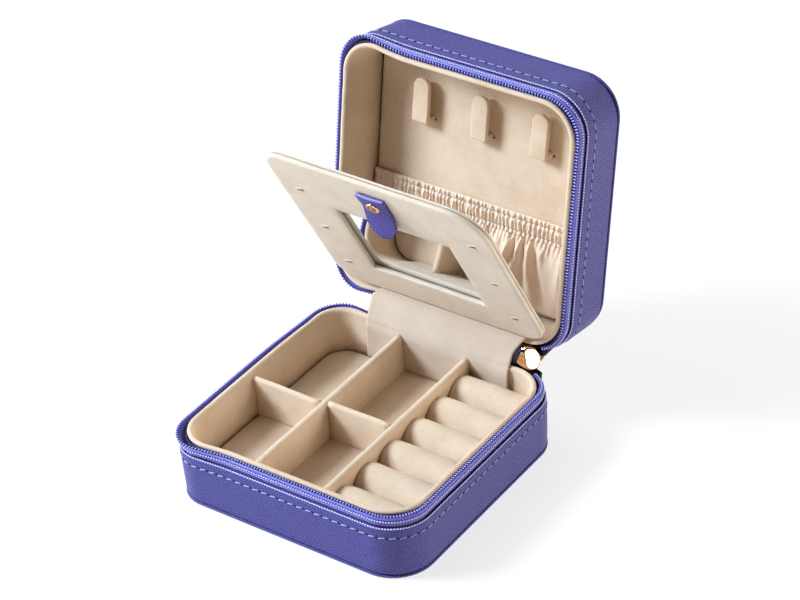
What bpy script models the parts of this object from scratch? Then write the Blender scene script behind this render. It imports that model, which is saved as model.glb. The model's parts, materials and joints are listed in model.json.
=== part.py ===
"""Travel jewelry case: a zip-round leather box, open, with a tray, a hung mirror panel and a lid.

World frame: X along the hinge (right), +Y to the back where the hinge is, +Z up.
The origin is the middle of the base's underside, on the surface that the case stands on.
All dimensions below are in millimetres and are turned into metres when a shape is made.
The lid's parts are drawn like the base's, with their outer side down and their rim up, then
turned over onto the base and swung open about the hinge.
"""
import math

import bmesh
import bpy
from mathutils import Matrix, Vector

MM = 0.001
GAP = 0.3                    # clearance kept between neighbouring pieces

# ---- driving dimensions -------------------------------------------------------------------
CASE_HALF = 50.0             # half of the square plan
CASE_CORNER = 16.5           # outer corner radius
RIM_Z = 26.2                 # top of a half's padded rim above its outer face
BAND_TOP = 21.0              # top of the leather side band
LEATHER = 1.0
BOARD = 1.4
TAPE = 0.6
LINER = 0.9
CORNER_SEGMENTS = 7
SMOOTH_ANGLE = math.radians(35)

# ---- the layers of a wall, from outside in (half width of each layer's outer face) -----------
TAPE_HALF = CASE_HALF - LEATHER - GAP
BOARD_HALF = TAPE_HALF - TAPE - GAP
LIP_HALF = 47.1              # outer edge of the liner's padded lip
INNER_HALF = 45.2            # inner face of the liner
LINER_CORNER = 13.0
BOTTOM_Z = LEATHER + GAP
BOARD_TOP = 24.6
TAPE_FOOT = 12.0
COIL_RADIUS = 1.05
COIL_HALF = 48.95
COIL_Z = 24.9
TAPE_TOP = COIL_Z - COIL_RADIUS - GAP
ZIP_RIGHT_X = 41.0           # where the teeth leave the slider
ZIP_LEFT_X = -28.0           # where the teeth end behind the flap
STOP_LENGTH = 1.6

# ---- tray ---------------------------------------------------------------------------------
BASE_FLOOR_Z = 8.5
DIVIDER_TOP = 24.0
DIVIDER_LEFT_X = -15.9
DIVIDER_RIGHT_X = 13.0
DIVIDER_LEFT_WIDTH = 3.0
DIVIDER_RIGHT_WIDTH = 2.8
CROSS_WIDTH = 2.4
CROSS_LEFT_Y = -4.0
CROSS_MIDDLE_Y = -2.4
ROLL_COUNT = 6
ROLL_Z = 13.7
ROLL_SEGMENTS = 22

# ---- hinge --------------------------------------------------------------------------------
LID_OPEN = math.radians(99.4)
HINGE_Y, HINGE_Z = 52.24, 28.35
SPINE_HALF_X = 24.0
SPINE_THICKNESS = 0.8

# ---- lid ----------------------------------------------------------------------------------
LID_FLOOR_Z = 7.4
HOOK_XS = (-25.0, 0.0, 25.0)
HOOK_WIDTH = 6.8
HOOK_ROOT_Y = 17.5
HOOK_TIP_Y = 34.6
HOOK_THICKNESS = 1.8
HOOK_STANDOFF = 2.5
POCKET_FOOT_Y = -43.6
POCKET_WAIST_Y = -15.2
POCKET_TOP_Y = -7.0
POCKET_HALF_X = 44.6
POCKET_BELLY = 5.0
POCKET_CLOTH = 0.7
ELASTIC_STANDOFF = 1.0
ELASTIC_THICKNESS = 1.5

# ---- mirror panel, lying over the tray with its mirror down when the case is closed -----------
PANEL_OPEN = math.radians(60.5)
PANEL_HINGE_Y, PANEL_HINGE_Z = 58.4, 26.05
PANEL_HALF_X = 44.8
PANEL_BACK_Y = 44.4
PANEL_FRONT_Y = -44.85
PANEL_CORNER = 15.0
PANEL_Z = DIVIDER_TOP + GAP
FRAME_THICKNESS = 1.7
BACKING_THICKNESS = 1.5
WINDOW_HALF_X = 23.8
WINDOW_FROM_BACK = (17.4, 59.4)
MIRROR_MARGIN = 3.0
MIRROR_THICKNESS = 0.8
SLOT_X = 35.7
SLOTS_FROM_BACK = (15.1, 40.4, 66.8)
SLOT_SIZE = (4.0, 0.9)

# ---- pull tab on the panel's front ----------------------------------------------------------
TAB_HALF_X = 5.7
TAB_THICKNESS = 1.2
TAB_TOP_FROM_BACK = 81.5
TAB_BEND_FROM_BACK = 71.5
TAB_END_FROM_BACK = 54.5
RIVET_FROM_BACK = 76.3
RIVET_RADIUS = 2.7
RIVET_SHANK = 0.9
RIVET_CAP = 0.8

# ---- flap between the tray's back wall and the panel ------------------------------------------
FLAP_HALF_X = 31.0
FLAP_THICKNESS = 0.6
FLAP_Y = INNER_HALF - GAP - FLAP_THICKNESS
FLAP_TOP = 23.9

# ---- zip slider, at the hinge's right end ----------------------------------------------------
SLIDER_OPEN = math.radians(17.0)
SLIDER_PIVOT_Y, SLIDER_PIVOT_Z = 60.0, 27.0
SLIDER_LEFT_X, SLIDER_RIGHT_X = 26.6, 40.2
SLIDER_Y, SLIDER_Z = 50.4, RIM_Z + GAP / 2
SLIDER_HALF_HEIGHT = 3.7
SLIDER_CHANNEL = 2.2         # clear space between the two wings
SLIDER_WING = 0.7
BRIDGE_RADIUS = 0.55
BRIDGE_RISE = 2.4
BRIDGE_LEFT_X, BRIDGE_RIGHT_X = 31.0, 39.6
LINK_RADIUS = 0.4
LINK_HALF_WIDTH = 1.3
LINK_TOP, LINK_FOOT = 1.3, -4.4
TAG_HALF_X = 3.0
TAG_NECK = 1.9
TAG_LENGTH = 17.5
TAG_THICKNESS = 1.0
PULLER_X = 36.4

# ---- colours (linear RGB), roughness, metallic -------------------------------------------------
FINISHES = {
    "violet_leather": ((0.085, 0.068, 0.36), 0.5, 0.0),
    "violet_tape": ((0.11, 0.075, 0.52), 0.7, 0.0),
    "violet_coil": ((0.15, 0.12, 0.68), 0.35, 0.0),
    "cream_velvet": ((0.72, 0.61, 0.49), 0.95, 0.0),
    "peach_cloth": ((0.74, 0.55, 0.41), 0.85, 0.0),
    "grey_board": ((0.35, 0.33, 0.3), 0.9, 0.0),
    "gold_metal": ((0.78, 0.52, 0.26), 0.25, 1.0),
    "mirror_silver": ((0.88, 0.9, 0.91), 0.05, 1.0),
}


# ================================ scene and helpers =============================================
def clear_scene():
    for old in list(bpy.data.objects):
        bpy.data.objects.remove(old, do_unlink=True)


def new_collection(name):
    collection = bpy.data.collections.new(name)
    bpy.context.scene.collection.children.link(collection)
    return collection


def make_material(name):
    colour, roughness, metallic = FINISHES[name]
    material = bpy.data.materials.new(name)
    material.use_nodes = True
    shader = material.node_tree.nodes["Principled BSDF"]
    shader.inputs["Base Color"].default_value = (*colour, 1.0)
    shader.inputs["Roughness"].default_value = roughness
    shader.inputs["Metallic"].default_value = metallic
    return material


def make_empty(name, world):
    empty = bpy.data.objects.new(name, None)
    empty.empty_display_size = 10 * MM
    case_parts.objects.link(empty)
    empty.matrix_world = world
    return empty


def add_part(name, data, finish, placing=None, parent=None, collection=None):
    """Put an object in the case, in its parent's frame where it has one."""
    part = bpy.data.objects.new(name, data)
    (collection or case_parts).objects.link(part)
    if parent is not None:
        part.parent = parent
    if placing is not None:
        part.matrix_local = placing
    if finish is not None:
        data.materials.append(materials[finish])
    return part


def shift(x, y, z):
    return Matrix.Translation(Vector((x, y, z)) * MM)


def shade_round(mesh):
    mesh.shade_smooth()
    mesh.set_sharp_from_angle(angle=SMOOTH_ANGLE)


def arc(centre_x, centre_y, radius, start, end, segments):
    """Points on an arc, angles in degrees, both ends included."""
    points = []
    for step in range(segments + 1):
        angle = math.radians(start + (end - start) * step / segments)
        points.append((centre_x + radius * math.cos(angle), centre_y + radius * math.sin(angle)))
    return points


def rounded_box(half_x, low_y, high_y, radius, segments=CORNER_SEGMENTS):
    """A rectangle with round corners, anticlockwise."""
    right, left = half_x - radius, radius - half_x
    top, bottom = high_y - radius, low_y + radius
    return (arc(right, top, radius, 0, 90, segments) + arc(left, top, radius, 90, 180, segments)
            + arc(left, bottom, radius, 180, 270, segments)
            + arc(right, bottom, radius, 270, 360, segments))


def rounded_square(half, radius):
    return rounded_box(half, -half, half, radius)


def zip_run(half, radius, side):
    """The zip's way round a half: from the slider, round the front, to behind the flap.

    side is +1 where the hinge is at +Y and -1 where it is at -Y.
    """
    inner = half - radius
    run = [(ZIP_RIGHT_X, half)] if ZIP_RIGHT_X < inner else []
    first = math.degrees(math.acos(max(min((ZIP_RIGHT_X - inner) / radius, 1.0), 0.0)))
    run += arc(inner, inner, radius, first, 0, CORNER_SEGMENTS)
    run += arc(inner, -inner, radius, 0, -90, CORNER_SEGMENTS)
    run += arc(-inner, -inner, radius, 270, 180, CORNER_SEGMENTS)
    run += arc(-inner, inner, radius, 180, 90, CORNER_SEGMENTS)
    run.append((ZIP_LEFT_X, half))
    return [(x, side * y) for x, y in run]


def flat_curve(name, outlines, thickness):
    """A flat plate, centred on its own plane; the outlines after the first are its holes."""
    curve = bpy.data.curves.new(name, "CURVE")
    curve.dimensions = "2D"
    curve.fill_mode = "BOTH"
    curve.extrude = thickness * MM / 2
    curve.render_resolution_u = 0
    for outline in outlines:
        spline = curve.splines.new("POLY")
        spline.points.add(len(outline) - 1)
        for point, (x, y) in zip(spline.points, outline):
            point.co = (x * MM, y * MM, 0.0, 1.0)
        spline.use_cyclic_u = True
    return curve


def add_plate(name, outlines, low_z, high_z, finish, parent=None, placing=Matrix()):
    curve = flat_curve(name, outlines, high_z - low_z)
    return add_part(name, curve, finish, placing @ shift(0, 0, (low_z + high_z) / 2), parent)


def add_tube(name, points, radius, finish, placing=None, parent=None):
    curve = bpy.data.curves.new(name, "CURVE")
    curve.dimensions = "3D"
    curve.bevel_depth = radius * MM
    curve.bevel_resolution = 2
    curve.use_fill_caps = True
    curve.render_resolution_u = 0
    spline = curve.splines.new("POLY")
    spline.points.add(len(points) - 1)
    for point, (x, y, z) in zip(spline.points, points):
        point.co = (x * MM, y * MM, z * MM, 1.0)
    return add_part(name, curve, finish, placing, parent)


def add_shell(name, rings, thickness, finish, placing=None, parent=None, closed=True, floor=False):
    """An open surface through rings of points (outline, height), thickened towards its inside.

    closed joins each ring's last point to its first; floor fills the first ring.
    """
    mesh = bpy.data.meshes.new(name)
    shape = bmesh.new()
    outline, height = rings[0]
    verts = [shape.verts.new((x * MM, y * MM, height * MM)) for x, y in outline]
    if floor:
        shape.faces.new(reversed(verts))
    count = len(verts)
    pairs = [(index, (index + 1) % count) for index in range(count if closed else count - 1)]
    edges = [shape.edges.get((verts[a], verts[b])) or shape.edges.new((verts[a], verts[b])) for a, b in pairs]
    for outline, height in rings[1:]:
        grown = bmesh.ops.extrude_edge_only(shape, edges=edges)["geom"]
        fresh = [item for item in grown if isinstance(item, bmesh.types.BMVert)]
        edges = [item for item in grown if isinstance(item, bmesh.types.BMEdge) and
                 item.verts[0] in fresh and item.verts[1] in fresh]
        ordered = [next(new for new in fresh if any(e.other_vert(new) is old for e in new.link_edges))
                   for old in verts]
        for vert, (x, y) in zip(ordered, outline):
            vert.co = (x * MM, y * MM, height * MM)
        verts = ordered
    bmesh.ops.recalc_face_normals(shape, faces=shape.faces)
    walls = [face for face in shape.faces if abs(face.normal.z) < 0.1]
    wall = max(walls, key=lambda face: face.calc_center_median().x - face.calc_center_median().z)
    if wall.normal.x < 0:
        bmesh.ops.reverse_faces(shape, faces=shape.faces)
    shape.to_mesh(mesh)
    shape.free()
    shade_round(mesh)
    part = add_part(name, mesh, finish, placing, parent)
    solidify = part.modifiers.new("Wall", "SOLIDIFY")
    solidify.thickness = thickness * MM
    solidify.offset = -1
    solidify.use_even_offset = True
    return part


def add_block(name, size, centre, finish, placing=Matrix(), parent=None, bevel=0.0, collection=None):
    """A box with its edges rounded by a Bevel modifier."""
    mesh = bpy.data.meshes.new(name)
    shape = bmesh.new()
    bmesh.ops.create_cube(shape, size=1.0)
    bmesh.ops.scale(shape, vec=Vector(size) * MM, verts=shape.verts)
    shape.to_mesh(mesh)
    shape.free()
    part = add_part(name, mesh, finish, placing @ shift(*centre), parent, collection)
    if bevel:
        rounding = part.modifiers.new("Rounding", "BEVEL")
        rounding.width = bevel * MM
        rounding.segments = 2
    return part


def to_mesh(part):
    """Turn a curve object into a mesh object with welded caps, in the same place."""
    bpy.context.view_layer.update()
    evaluated = part.evaluated_get(bpy.context.evaluated_depsgraph_get())
    mesh = bpy.data.meshes.new_from_object(evaluated)
    shape = bmesh.new()
    shape.from_mesh(mesh)
    bmesh.ops.remove_doubles(shape, verts=shape.verts, dist=0.01 * MM)
    shape.to_mesh(mesh)
    shape.free()
    shade_round(mesh)
    name, world, parent = part.name, part.matrix_world.copy(), part.parent
    home = part.users_collection[0]
    bpy.data.objects.remove(part, do_unlink=True)
    solid = bpy.data.objects.new(name, mesh)
    home.objects.link(solid)
    solid.parent = parent
    solid.matrix_world = world
    return solid


def combine(part, other, operation):
    """Join or cut a part with another object, which becomes a hidden cutter."""
    change = part.modifiers.new(operation.title(), "BOOLEAN")
    change.operation = operation
    change.solver = "EXACT"
    change.object = other
    other.hide_render = True
    other.display_type = "WIRE"
    for home in list(other.users_collection):
        home.objects.unlink(other)
    cutters.objects.link(other)


# ================================ the two halves of the case ======================================
def build_half(prefix, parent, placing, side, floor_z):
    """Leather, board, zip and velvet of one half; side is the hinge's side of its own Y."""
    outer = rounded_square(CASE_HALF, CASE_CORNER)
    band_inside = rounded_square(CASE_HALF - LEATHER, CASE_CORNER - LEATHER)
    end_face = rounded_square(CASE_HALF - GAP, CASE_CORNER - GAP)
    end_name = {"base": "base_bottom_leather", "lid": "lid_top_leather"}[prefix]
    add_plate(end_name, [end_face], 0, LEATHER, "violet_leather", parent, placing)
    add_plate(f"{prefix}_side_leather", [outer, band_inside], BOTTOM_Z, BAND_TOP, "violet_leather", parent, placing)

    board = rounded_square(BOARD_HALF, CASE_CORNER - LEATHER - TAPE)
    add_shell(f"{prefix}_shell", [(board, BOTTOM_Z), (board, BOARD_TOP)], BOARD, "grey_board",
              placing, parent, floor=True)

    tape_run = zip_run(TAPE_HALF, CASE_CORNER - LEATHER, side)
    add_shell(f"{prefix}_zip_tape", [(tape_run, TAPE_FOOT), (tape_run, TAPE_TOP)], TAPE, "violet_tape",
              placing, parent, closed=False)
    coil_run = zip_run(COIL_HALF, CASE_CORNER - LEATHER, side)
    add_tube(f"{prefix}_zip_coil", [(x, y, COIL_Z) for x, y in coil_run], COIL_RADIUS, "violet_coil",
             placing, parent)
    stop_x = ZIP_LEFT_X + GAP + STOP_LENGTH / 2
    stop_size = (STOP_LENGTH, 1.9 * COIL_RADIUS, 2 * COIL_RADIUS)
    add_block(f"{prefix}_zip_stop", stop_size, (stop_x, side * COIL_HALF, COIL_Z), "gold_metal",
              placing, parent, bevel=0.4)

    lip_round = 0.8
    wall = rounded_square(INNER_HALF, LINER_CORNER)
    turn = rounded_square(INNER_HALF + lip_round, LINER_CORNER + lip_round)
    lip = rounded_square(LIP_HALF, LINER_CORNER + LIP_HALF - INNER_HALF)
    liner = add_shell(f"{prefix}_liner",
                      [(wall, floor_z + GAP), (wall, RIM_Z - lip_round), (turn, RIM_Z), (lip, RIM_Z)],
                      LINER, "cream_velvet", placing, parent)
    liner.modifiers["Wall"].offset = 1

    pad_half = INNER_HALF - GAP + LINER
    pad = rounded_square(pad_half, LINER_CORNER + LINER - GAP)
    pad_name = {"base": "base_floor_pad", "lid": "lid_ceiling_pad"}[prefix]
    add_plate(pad_name, [pad], BOTTOM_Z + BOARD + GAP, floor_z, "cream_velvet", parent, placing)


# ================================ tray ===========================================================
def build_tray():
    floor = BASE_FLOOR_Z + GAP
    front = -(INNER_HALF - GAP)
    back = FLAP_Y - GAP
    height = DIVIDER_TOP - floor
    middle_z = (DIVIDER_TOP + floor) / 2
    length, middle_y = back - front, (back + front) / 2
    for name, x, width in (("divider_left", DIVIDER_LEFT_X, DIVIDER_LEFT_WIDTH),
                           ("divider_right", DIVIDER_RIGHT_X, DIVIDER_RIGHT_WIDTH)):
        add_block(name, (width, length, height), (x, middle_y, middle_z), "cream_velvet", bevel=0.6)

    left_wall = -(INNER_HALF - GAP)
    left_face = DIVIDER_LEFT_X - DIVIDER_LEFT_WIDTH / 2 - GAP
    middle_left = DIVIDER_LEFT_X + DIVIDER_LEFT_WIDTH / 2 + GAP
    middle_right = DIVIDER_RIGHT_X - DIVIDER_RIGHT_WIDTH / 2 - GAP
    for name, x0, x1, y in (("cross_divider_left", left_wall, left_face, CROSS_LEFT_Y),
                            ("cross_divider_middle", middle_left, middle_right, CROSS_MIDDLE_Y)):
        add_block(name, (x1 - x0, CROSS_WIDTH, height), ((x0 + x1) / 2, y, middle_z), "cream_velvet", bevel=0.6)

    build_ring_rolls(DIVIDER_RIGHT_X + DIVIDER_RIGHT_WIDTH / 2 + GAP, INNER_HALF - GAP, front, back, floor)


def build_ring_rolls(x0, x1, front, back, floor):
    """Foam rolls side by side, each flattened where it lies on the floor.

    The two end rolls are cut to the tray's round corners.
    """
    pitch = (back - front) / ROLL_COUNT
    radius = (pitch - GAP) / 2
    sink = math.degrees(math.asin((ROLL_Z - floor) / radius))
    profile = arc(0, 0, radius, -sink, 180 + sink, ROLL_SEGMENTS)
    turn = Matrix.Rotation(math.radians(90), 4, "Z") @ Matrix.Rotation(math.radians(90), 4, "X")
    for index in range(ROLL_COUNT):
        name = f"ring_roll_{index + 1}"
        y = back - pitch * (index + 0.5)
        curve = flat_curve(name, [profile], x1 - x0)
        roll = add_part(name, curve, "cream_velvet", shift((x0 + x1) / 2, y, ROLL_Z) @ turn)
        if index in (0, ROLL_COUNT - 1):
            roll = to_mesh(roll)
            inside = rounded_square(INNER_HALF - GAP, LINER_CORNER - GAP)
            room = add_plate(f"{name}_room", [inside], floor - ROLL_Z, 2 * ROLL_Z, None)
            combine(roll, to_mesh(room), "INTERSECT")


# ================================ hinge spine and flap ===========================================
def build_spine():
    """Two leather leaves, which meet just short of the hinge's axis."""
    def leaf(name, foot, finish_y, finish_z, parent, placing):
        foot_y, foot_z = foot
        run = Vector((finish_y - foot_y, finish_z - foot_z))
        tilt = math.atan2(run.y, run.x)
        centre = ((foot_y + finish_y) / 2, (foot_z + finish_z) / 2)
        turned = placing @ shift(0, *centre) @ Matrix.Rotation(tilt, 4, "X")
        add_block(name, (2 * SPINE_HALF_X, run.length, SPINE_THICKNESS), (0, 0, 0), "violet_leather",
                  turned, parent)

    shy = 0.9
    leaf("base_spine_leather", (CASE_HALF - 0.4, BAND_TOP + 0.6), HINGE_Y - 0.2, HINGE_Z - shy, None, Matrix())
    closed_foot = (CASE_HALF - 0.4, 2 * RIM_Z + GAP - BAND_TOP - 0.6)
    leaf("lid_spine_leather", closed_foot, HINGE_Y - 0.3, HINGE_Z + shy, lid_axis, hinge_home)


def build_flap():
    low = BASE_FLOOR_Z + GAP
    add_block("flap_gusset", (2 * FLAP_HALF_X, FLAP_THICKNESS, FLAP_TOP - low),
              (0, FLAP_Y + FLAP_THICKNESS / 2, (FLAP_TOP + low) / 2), "peach_cloth")


# ================================ lid fittings ===================================================
def build_hooks():
    """Necklace hooks: upright tongues, rooted at their lower end, round at the upper one."""
    low_z = LID_FLOOR_Z + GAP
    back_z = low_z + HOOK_STANDOFF
    half = HOOK_WIDTH / 2
    root_length = 2.6
    for number, x in enumerate(HOOK_XS, start=1):
        outline = [(-half, HOOK_ROOT_Y), (half, HOOK_ROOT_Y)]
        outline += arc(0, HOOK_TIP_Y - half, half, 0, 180, 10)
        tongue = flat_curve(f"necklace_hook_{number}", [outline], HOOK_THICKNESS)
        placing = lid_home @ shift(x, 0, back_z + HOOK_THICKNESS / 2)
        hook = to_mesh(add_part(f"necklace_hook_{number}", tongue, "cream_velvet", placing, lid_axis))
        overlap = HOOK_THICKNESS / 2
        root = add_block(f"hook_root_{number}", (HOOK_WIDTH - 1.0, root_length, HOOK_STANDOFF + overlap),
                         (x, HOOK_ROOT_Y + root_length / 2 + 0.2, low_z + (HOOK_STANDOFF + overlap) / 2),
                         None, lid_home, lid_axis)
        combine(hook, root, "UNION")


def build_pocket():
    """A gathered pouch, bellied in the middle, with an elastic hem along its mouth."""
    low_z = LID_FLOOR_Z + GAP
    steps = 10
    profile = []
    for step in range(steps + 1):
        part = step / steps
        y = POCKET_FOOT_Y + (POCKET_WAIST_Y - POCKET_CLOTH - GAP - POCKET_FOOT_Y) * part
        swell = math.sin(math.pi * part) ** 0.7
        profile.append((y, low_z + 0.4 + ELASTIC_STANDOFF * part + POCKET_BELLY * swell))
    mesh = bpy.data.meshes.new("pocket_pouch")
    shape = bmesh.new()
    columns = 12
    corner = LINER_CORNER
    grid = []
    for column in range(columns + 1):
        across = -1 + 2 * column / columns
        row = []
        for y, z in profile:
            reach = max(-(INNER_HALF - corner) - y, 0.0)
            half = POCKET_HALF_X - (corner - math.sqrt(max(corner ** 2 - reach ** 2, 0.0)))
            rise = 1 - abs(across) ** 4
            row.append(shape.verts.new((across * half * MM, y * MM, (low_z + 0.4 + (z - low_z - 0.4) * rise) * MM)))
        grid.append(row)
    for column in range(columns):
        for step in range(steps):
            shape.faces.new((grid[column][step], grid[column + 1][step],
                             grid[column + 1][step + 1], grid[column][step + 1]))
    bmesh.ops.recalc_face_normals(shape, faces=shape.faces)
    shape.faces.ensure_lookup_table()
    if shape.faces[0].normal.z < 0:
        bmesh.ops.reverse_faces(shape, faces=shape.faces)
    shape.to_mesh(mesh)
    shape.free()
    shade_round(mesh)
    pouch = add_part("pocket_pouch", mesh, "peach_cloth", lid_home, lid_axis)
    cloth = pouch.modifiers.new("Cloth", "SOLIDIFY")
    cloth.thickness = POCKET_CLOTH * MM
    cloth.offset = 1

    band_z = low_z + ELASTIC_STANDOFF + ELASTIC_THICKNESS / 2
    band_y = (POCKET_WAIST_Y + POCKET_TOP_Y) / 2
    add_block("pocket_elastic", (2 * POCKET_HALF_X, POCKET_TOP_Y - POCKET_WAIST_Y, ELASTIC_THICKNESS),
              (0, band_y, band_z), "peach_cloth", lid_home, lid_axis, bevel=0.5)


# ================================ mirror panel ===================================================
def from_back(distance):
    """A place on the closed panel, measured forward from its hinge edge."""
    return PANEL_BACK_Y - distance


def build_panel():
    outline = rounded_box(PANEL_HALF_X, PANEL_FRONT_Y, PANEL_BACK_Y, PANEL_CORNER)
    near, far = (from_back(distance) for distance in WINDOW_FROM_BACK)
    window = [(-WINDOW_HALF_X, far), (WINDOW_HALF_X, far), (WINDOW_HALF_X, near), (-WINDOW_HALF_X, near)]
    holes = [window]
    half_slot_x, half_slot_y = (size / 2 for size in SLOT_SIZE)
    for distance in SLOTS_FROM_BACK:
        y = from_back(distance)
        for x in (-SLOT_X, SLOT_X):
            holes.append([(x - half_slot_x, y - half_slot_y), (x + half_slot_x, y - half_slot_y),
                          (x + half_slot_x, y + half_slot_y), (x - half_slot_x, y + half_slot_y)])
    holes.append(arc(0, from_back(RIVET_FROM_BACK), RIVET_SHANK + GAP, 0, 330, 11))
    frame_top = PANEL_Z + FRAME_THICKNESS
    add_plate("mirror_frame", [outline] + holes, PANEL_Z, frame_top, "cream_velvet", panel_axis, panel_home)

    glass_low = frame_top + GAP
    glass_high = glass_low + MIRROR_THICKNESS
    margin = MIRROR_MARGIN
    glass = [(-WINDOW_HALF_X - margin, far - margin), (WINDOW_HALF_X + margin, far - margin),
             (WINDOW_HALF_X + margin, near + margin), (-WINDOW_HALF_X - margin, near + margin)]
    add_plate("mirror_glass", [glass], glass_low, glass_high, "mirror_silver", panel_axis, panel_home)

    backing_low = frame_top + GAP
    backing_high = backing_low + BACKING_THICKNESS
    backing = to_mesh(add_plate("mirror_backing", [outline], backing_low, backing_high, "cream_velvet",
                                panel_axis, panel_home))
    pocket_x = 2 * (WINDOW_HALF_X + margin + GAP)
    pocket_y = near - far + 2 * (margin + GAP)
    pocket_z = 2 * (MIRROR_THICKNESS + GAP)
    recess = add_block("mirror_recess", (pocket_x, pocket_y, pocket_z), (0, (near + far) / 2, backing_low),
                       None, panel_home, panel_axis)
    combine(backing, recess, "DIFFERENCE")


def build_tab():
    """The leather pull tab: a root held by a rivet, and a free end that bends up below it."""
    high = PANEL_Z - GAP
    low = high - TAB_THICKNESS
    top, bend, end = (from_back(d) for d in (TAB_TOP_FROM_BACK, TAB_BEND_FROM_BACK, TAB_END_FROM_BACK))
    rivet_y = from_back(RIVET_FROM_BACK)
    root = [(-TAB_HALF_X, top), (TAB_HALF_X, top), (TAB_HALF_X, bend - GAP / 2), (-TAB_HALF_X, bend - GAP / 2)]
    eye = arc(0, rivet_y, RIVET_SHANK + GAP, 0, 330, 11)
    add_plate("pull_tab_root", [root, eye], low, high, "violet_leather", panel_axis, panel_home)

    tongue = [(TAB_HALF_X, bend + GAP / 2)] + arc(0, end - TAB_HALF_X, TAB_HALF_X, 0, 180, 12)
    tongue.append((-TAB_HALF_X, bend + GAP / 2))
    add_plate("pull_tab_tongue", [tongue], low, high, "violet_leather", tab_axis, tab_home)

    cap_high = low - GAP
    cap_low = cap_high - RIVET_CAP
    rivet = add_turned("tab_rivet", [(RIVET_RADIUS * 0.8, cap_low), (RIVET_RADIUS, (cap_low + cap_high) / 2),
                                     (RIVET_RADIUS, cap_high), (RIVET_SHANK, cap_high),
                                     (RIVET_SHANK, PANEL_Z + FRAME_THICKNESS)], 16)
    rivet.parent = panel_axis
    rivet.matrix_local = panel_home @ shift(0, rivet_y, 0)


def add_turned(name, profile, steps):
    """A turned piece: a profile of (radius, height) from one end of the axis to the other."""
    mesh = bpy.data.meshes.new(name)
    points = [(0.0, profile[0][1])] + list(profile) + [(0.0, profile[-1][1])]
    points = [(radius * MM, 0.0, height * MM) for radius, height in reversed(points)]
    mesh.from_pydata(points, [(index, index + 1) for index in range(len(points) - 1)], [])
    part = add_part(name, mesh, "gold_metal")
    turning = part.modifiers.new("Turning", "SCREW")
    turning.axis = "Z"
    turning.steps = turning.render_steps = steps
    turning.use_smooth_shade = True
    turning.use_merge_vertices = True
    turning.merge_threshold = 0.00001
    return part


# ================================ zip slider =====================================================
def build_slider():
    """Two wings joined by a post at the nose and by flanges along their edges, and a bridge."""
    half_channel = SLIDER_CHANNEL / 2
    nose = SLIDER_HALF_HEIGHT
    length = SLIDER_RIGHT_X - SLIDER_LEFT_X
    waist = SLIDER_HALF_HEIGHT - 0.7
    wing = arc(length - nose, 0, nose, -90, 90, 10) + [(length * 0.45, waist), (0.4, waist)]
    wing += [(0, waist - 0.4), (0, 0.4 - waist), (0.4, -waist), (length * 0.45, -waist)]
    stand = Matrix.Rotation(math.radians(90), 4, "X")
    at = slider_home @ shift(SLIDER_LEFT_X, SLIDER_Y, SLIDER_Z) @ stand

    def wing_plate(name, offset):
        curve = flat_curve(name, [wing], SLIDER_WING)
        return to_mesh(add_part(name, curve, "gold_metal", at @ shift(0, 0, offset), slider_axis))

    offset = half_channel + SLIDER_WING / 2
    body = wing_plate("zip_slider", offset)
    body.data.materials.clear()
    body.data.materials.append(materials["gold_metal"])
    outer_wing = wing_plate("slider_outer_wing", -offset)
    combine(body, outer_wing, "UNION")

    overlap = SLIDER_WING / 2
    post = add_block("slider_post", (2.4, 1.5, SLIDER_CHANNEL + 2 * overlap), (length - 2.6, 0, 0), None,
                     at, slider_axis)
    combine(body, post, "UNION")
    rail_length = length * 0.55
    for label, sign in (("upper", 1), ("lower", -1)):
        for side in (1, -1):
            z = side * (half_channel - 0.2)
            rail = add_block(f"slider_rail_{label}_{'in' if side > 0 else 'out'}",
                             (rail_length, 0.6, 0.4 + 2 * overlap),
                             (0.8 + rail_length / 2, sign * (waist - 0.45), z + side * overlap), None,
                             at, slider_axis)
            combine(body, rail, "UNION")

    foot = SLIDER_Y + half_channel + SLIDER_WING + GAP
    top = foot - GAP + BRIDGE_RISE
    bend = 0.8
    points = [(BRIDGE_LEFT_X, foot, SLIDER_Z), (BRIDGE_LEFT_X, top - bend, SLIDER_Z)]
    points += [(BRIDGE_LEFT_X + bend, top, SLIDER_Z), (BRIDGE_RIGHT_X - bend, top, SLIDER_Z)]
    points += [(BRIDGE_RIGHT_X, top - bend, SLIDER_Z), (BRIDGE_RIGHT_X, foot, SLIDER_Z)]
    add_tube("zip_slider_bridge", points, BRIDGE_RADIUS, "gold_metal", slider_home, slider_axis)


def build_puller():
    """A wire link round the bridge and a flat tag hanging from it, narrow at its eye."""
    reach = LINK_HALF_WIDTH
    loop = [(0, y, z) for y, z in arc(0, LINK_TOP - reach, reach, 0, 180, 8)]
    loop += [(0, y, z) for y, z in arc(0, LINK_FOOT + reach, reach, 180, 360, 8)]
    link = add_tube("puller_link", loop, LINK_RADIUS, "gold_metal", Matrix(), puller_axis)
    link.data.splines[0].use_cyclic_u = True

    eye_radius = LINK_RADIUS + GAP
    tag_end = LINK_FOOT - TAG_LENGTH + TAG_HALF_X
    outline = arc(0, LINK_FOOT, TAG_NECK, 0, 180, 8)
    outline += arc(0, tag_end, TAG_HALF_X, 180, 360, 10)
    hole = arc(0, LINK_FOOT, eye_radius, 0, 330, 11)
    tag = flat_curve("puller_tag", [outline, hole], TAG_THICKNESS)
    add_part("puller_tag", tag, "gold_metal", Matrix.Rotation(math.radians(90), 4, "X"), puller_axis)


# ================================ frames of the moving pieces =====================================
def axis_pose(y, z, angle):
    return shift(0, y, z) @ Matrix.Rotation(angle, 4, "X")


clear_scene()
case_parts = new_collection("travel_jewelry_case")
cutters = new_collection("cutters")
materials = {name: make_material(name) for name in FINISHES}

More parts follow.
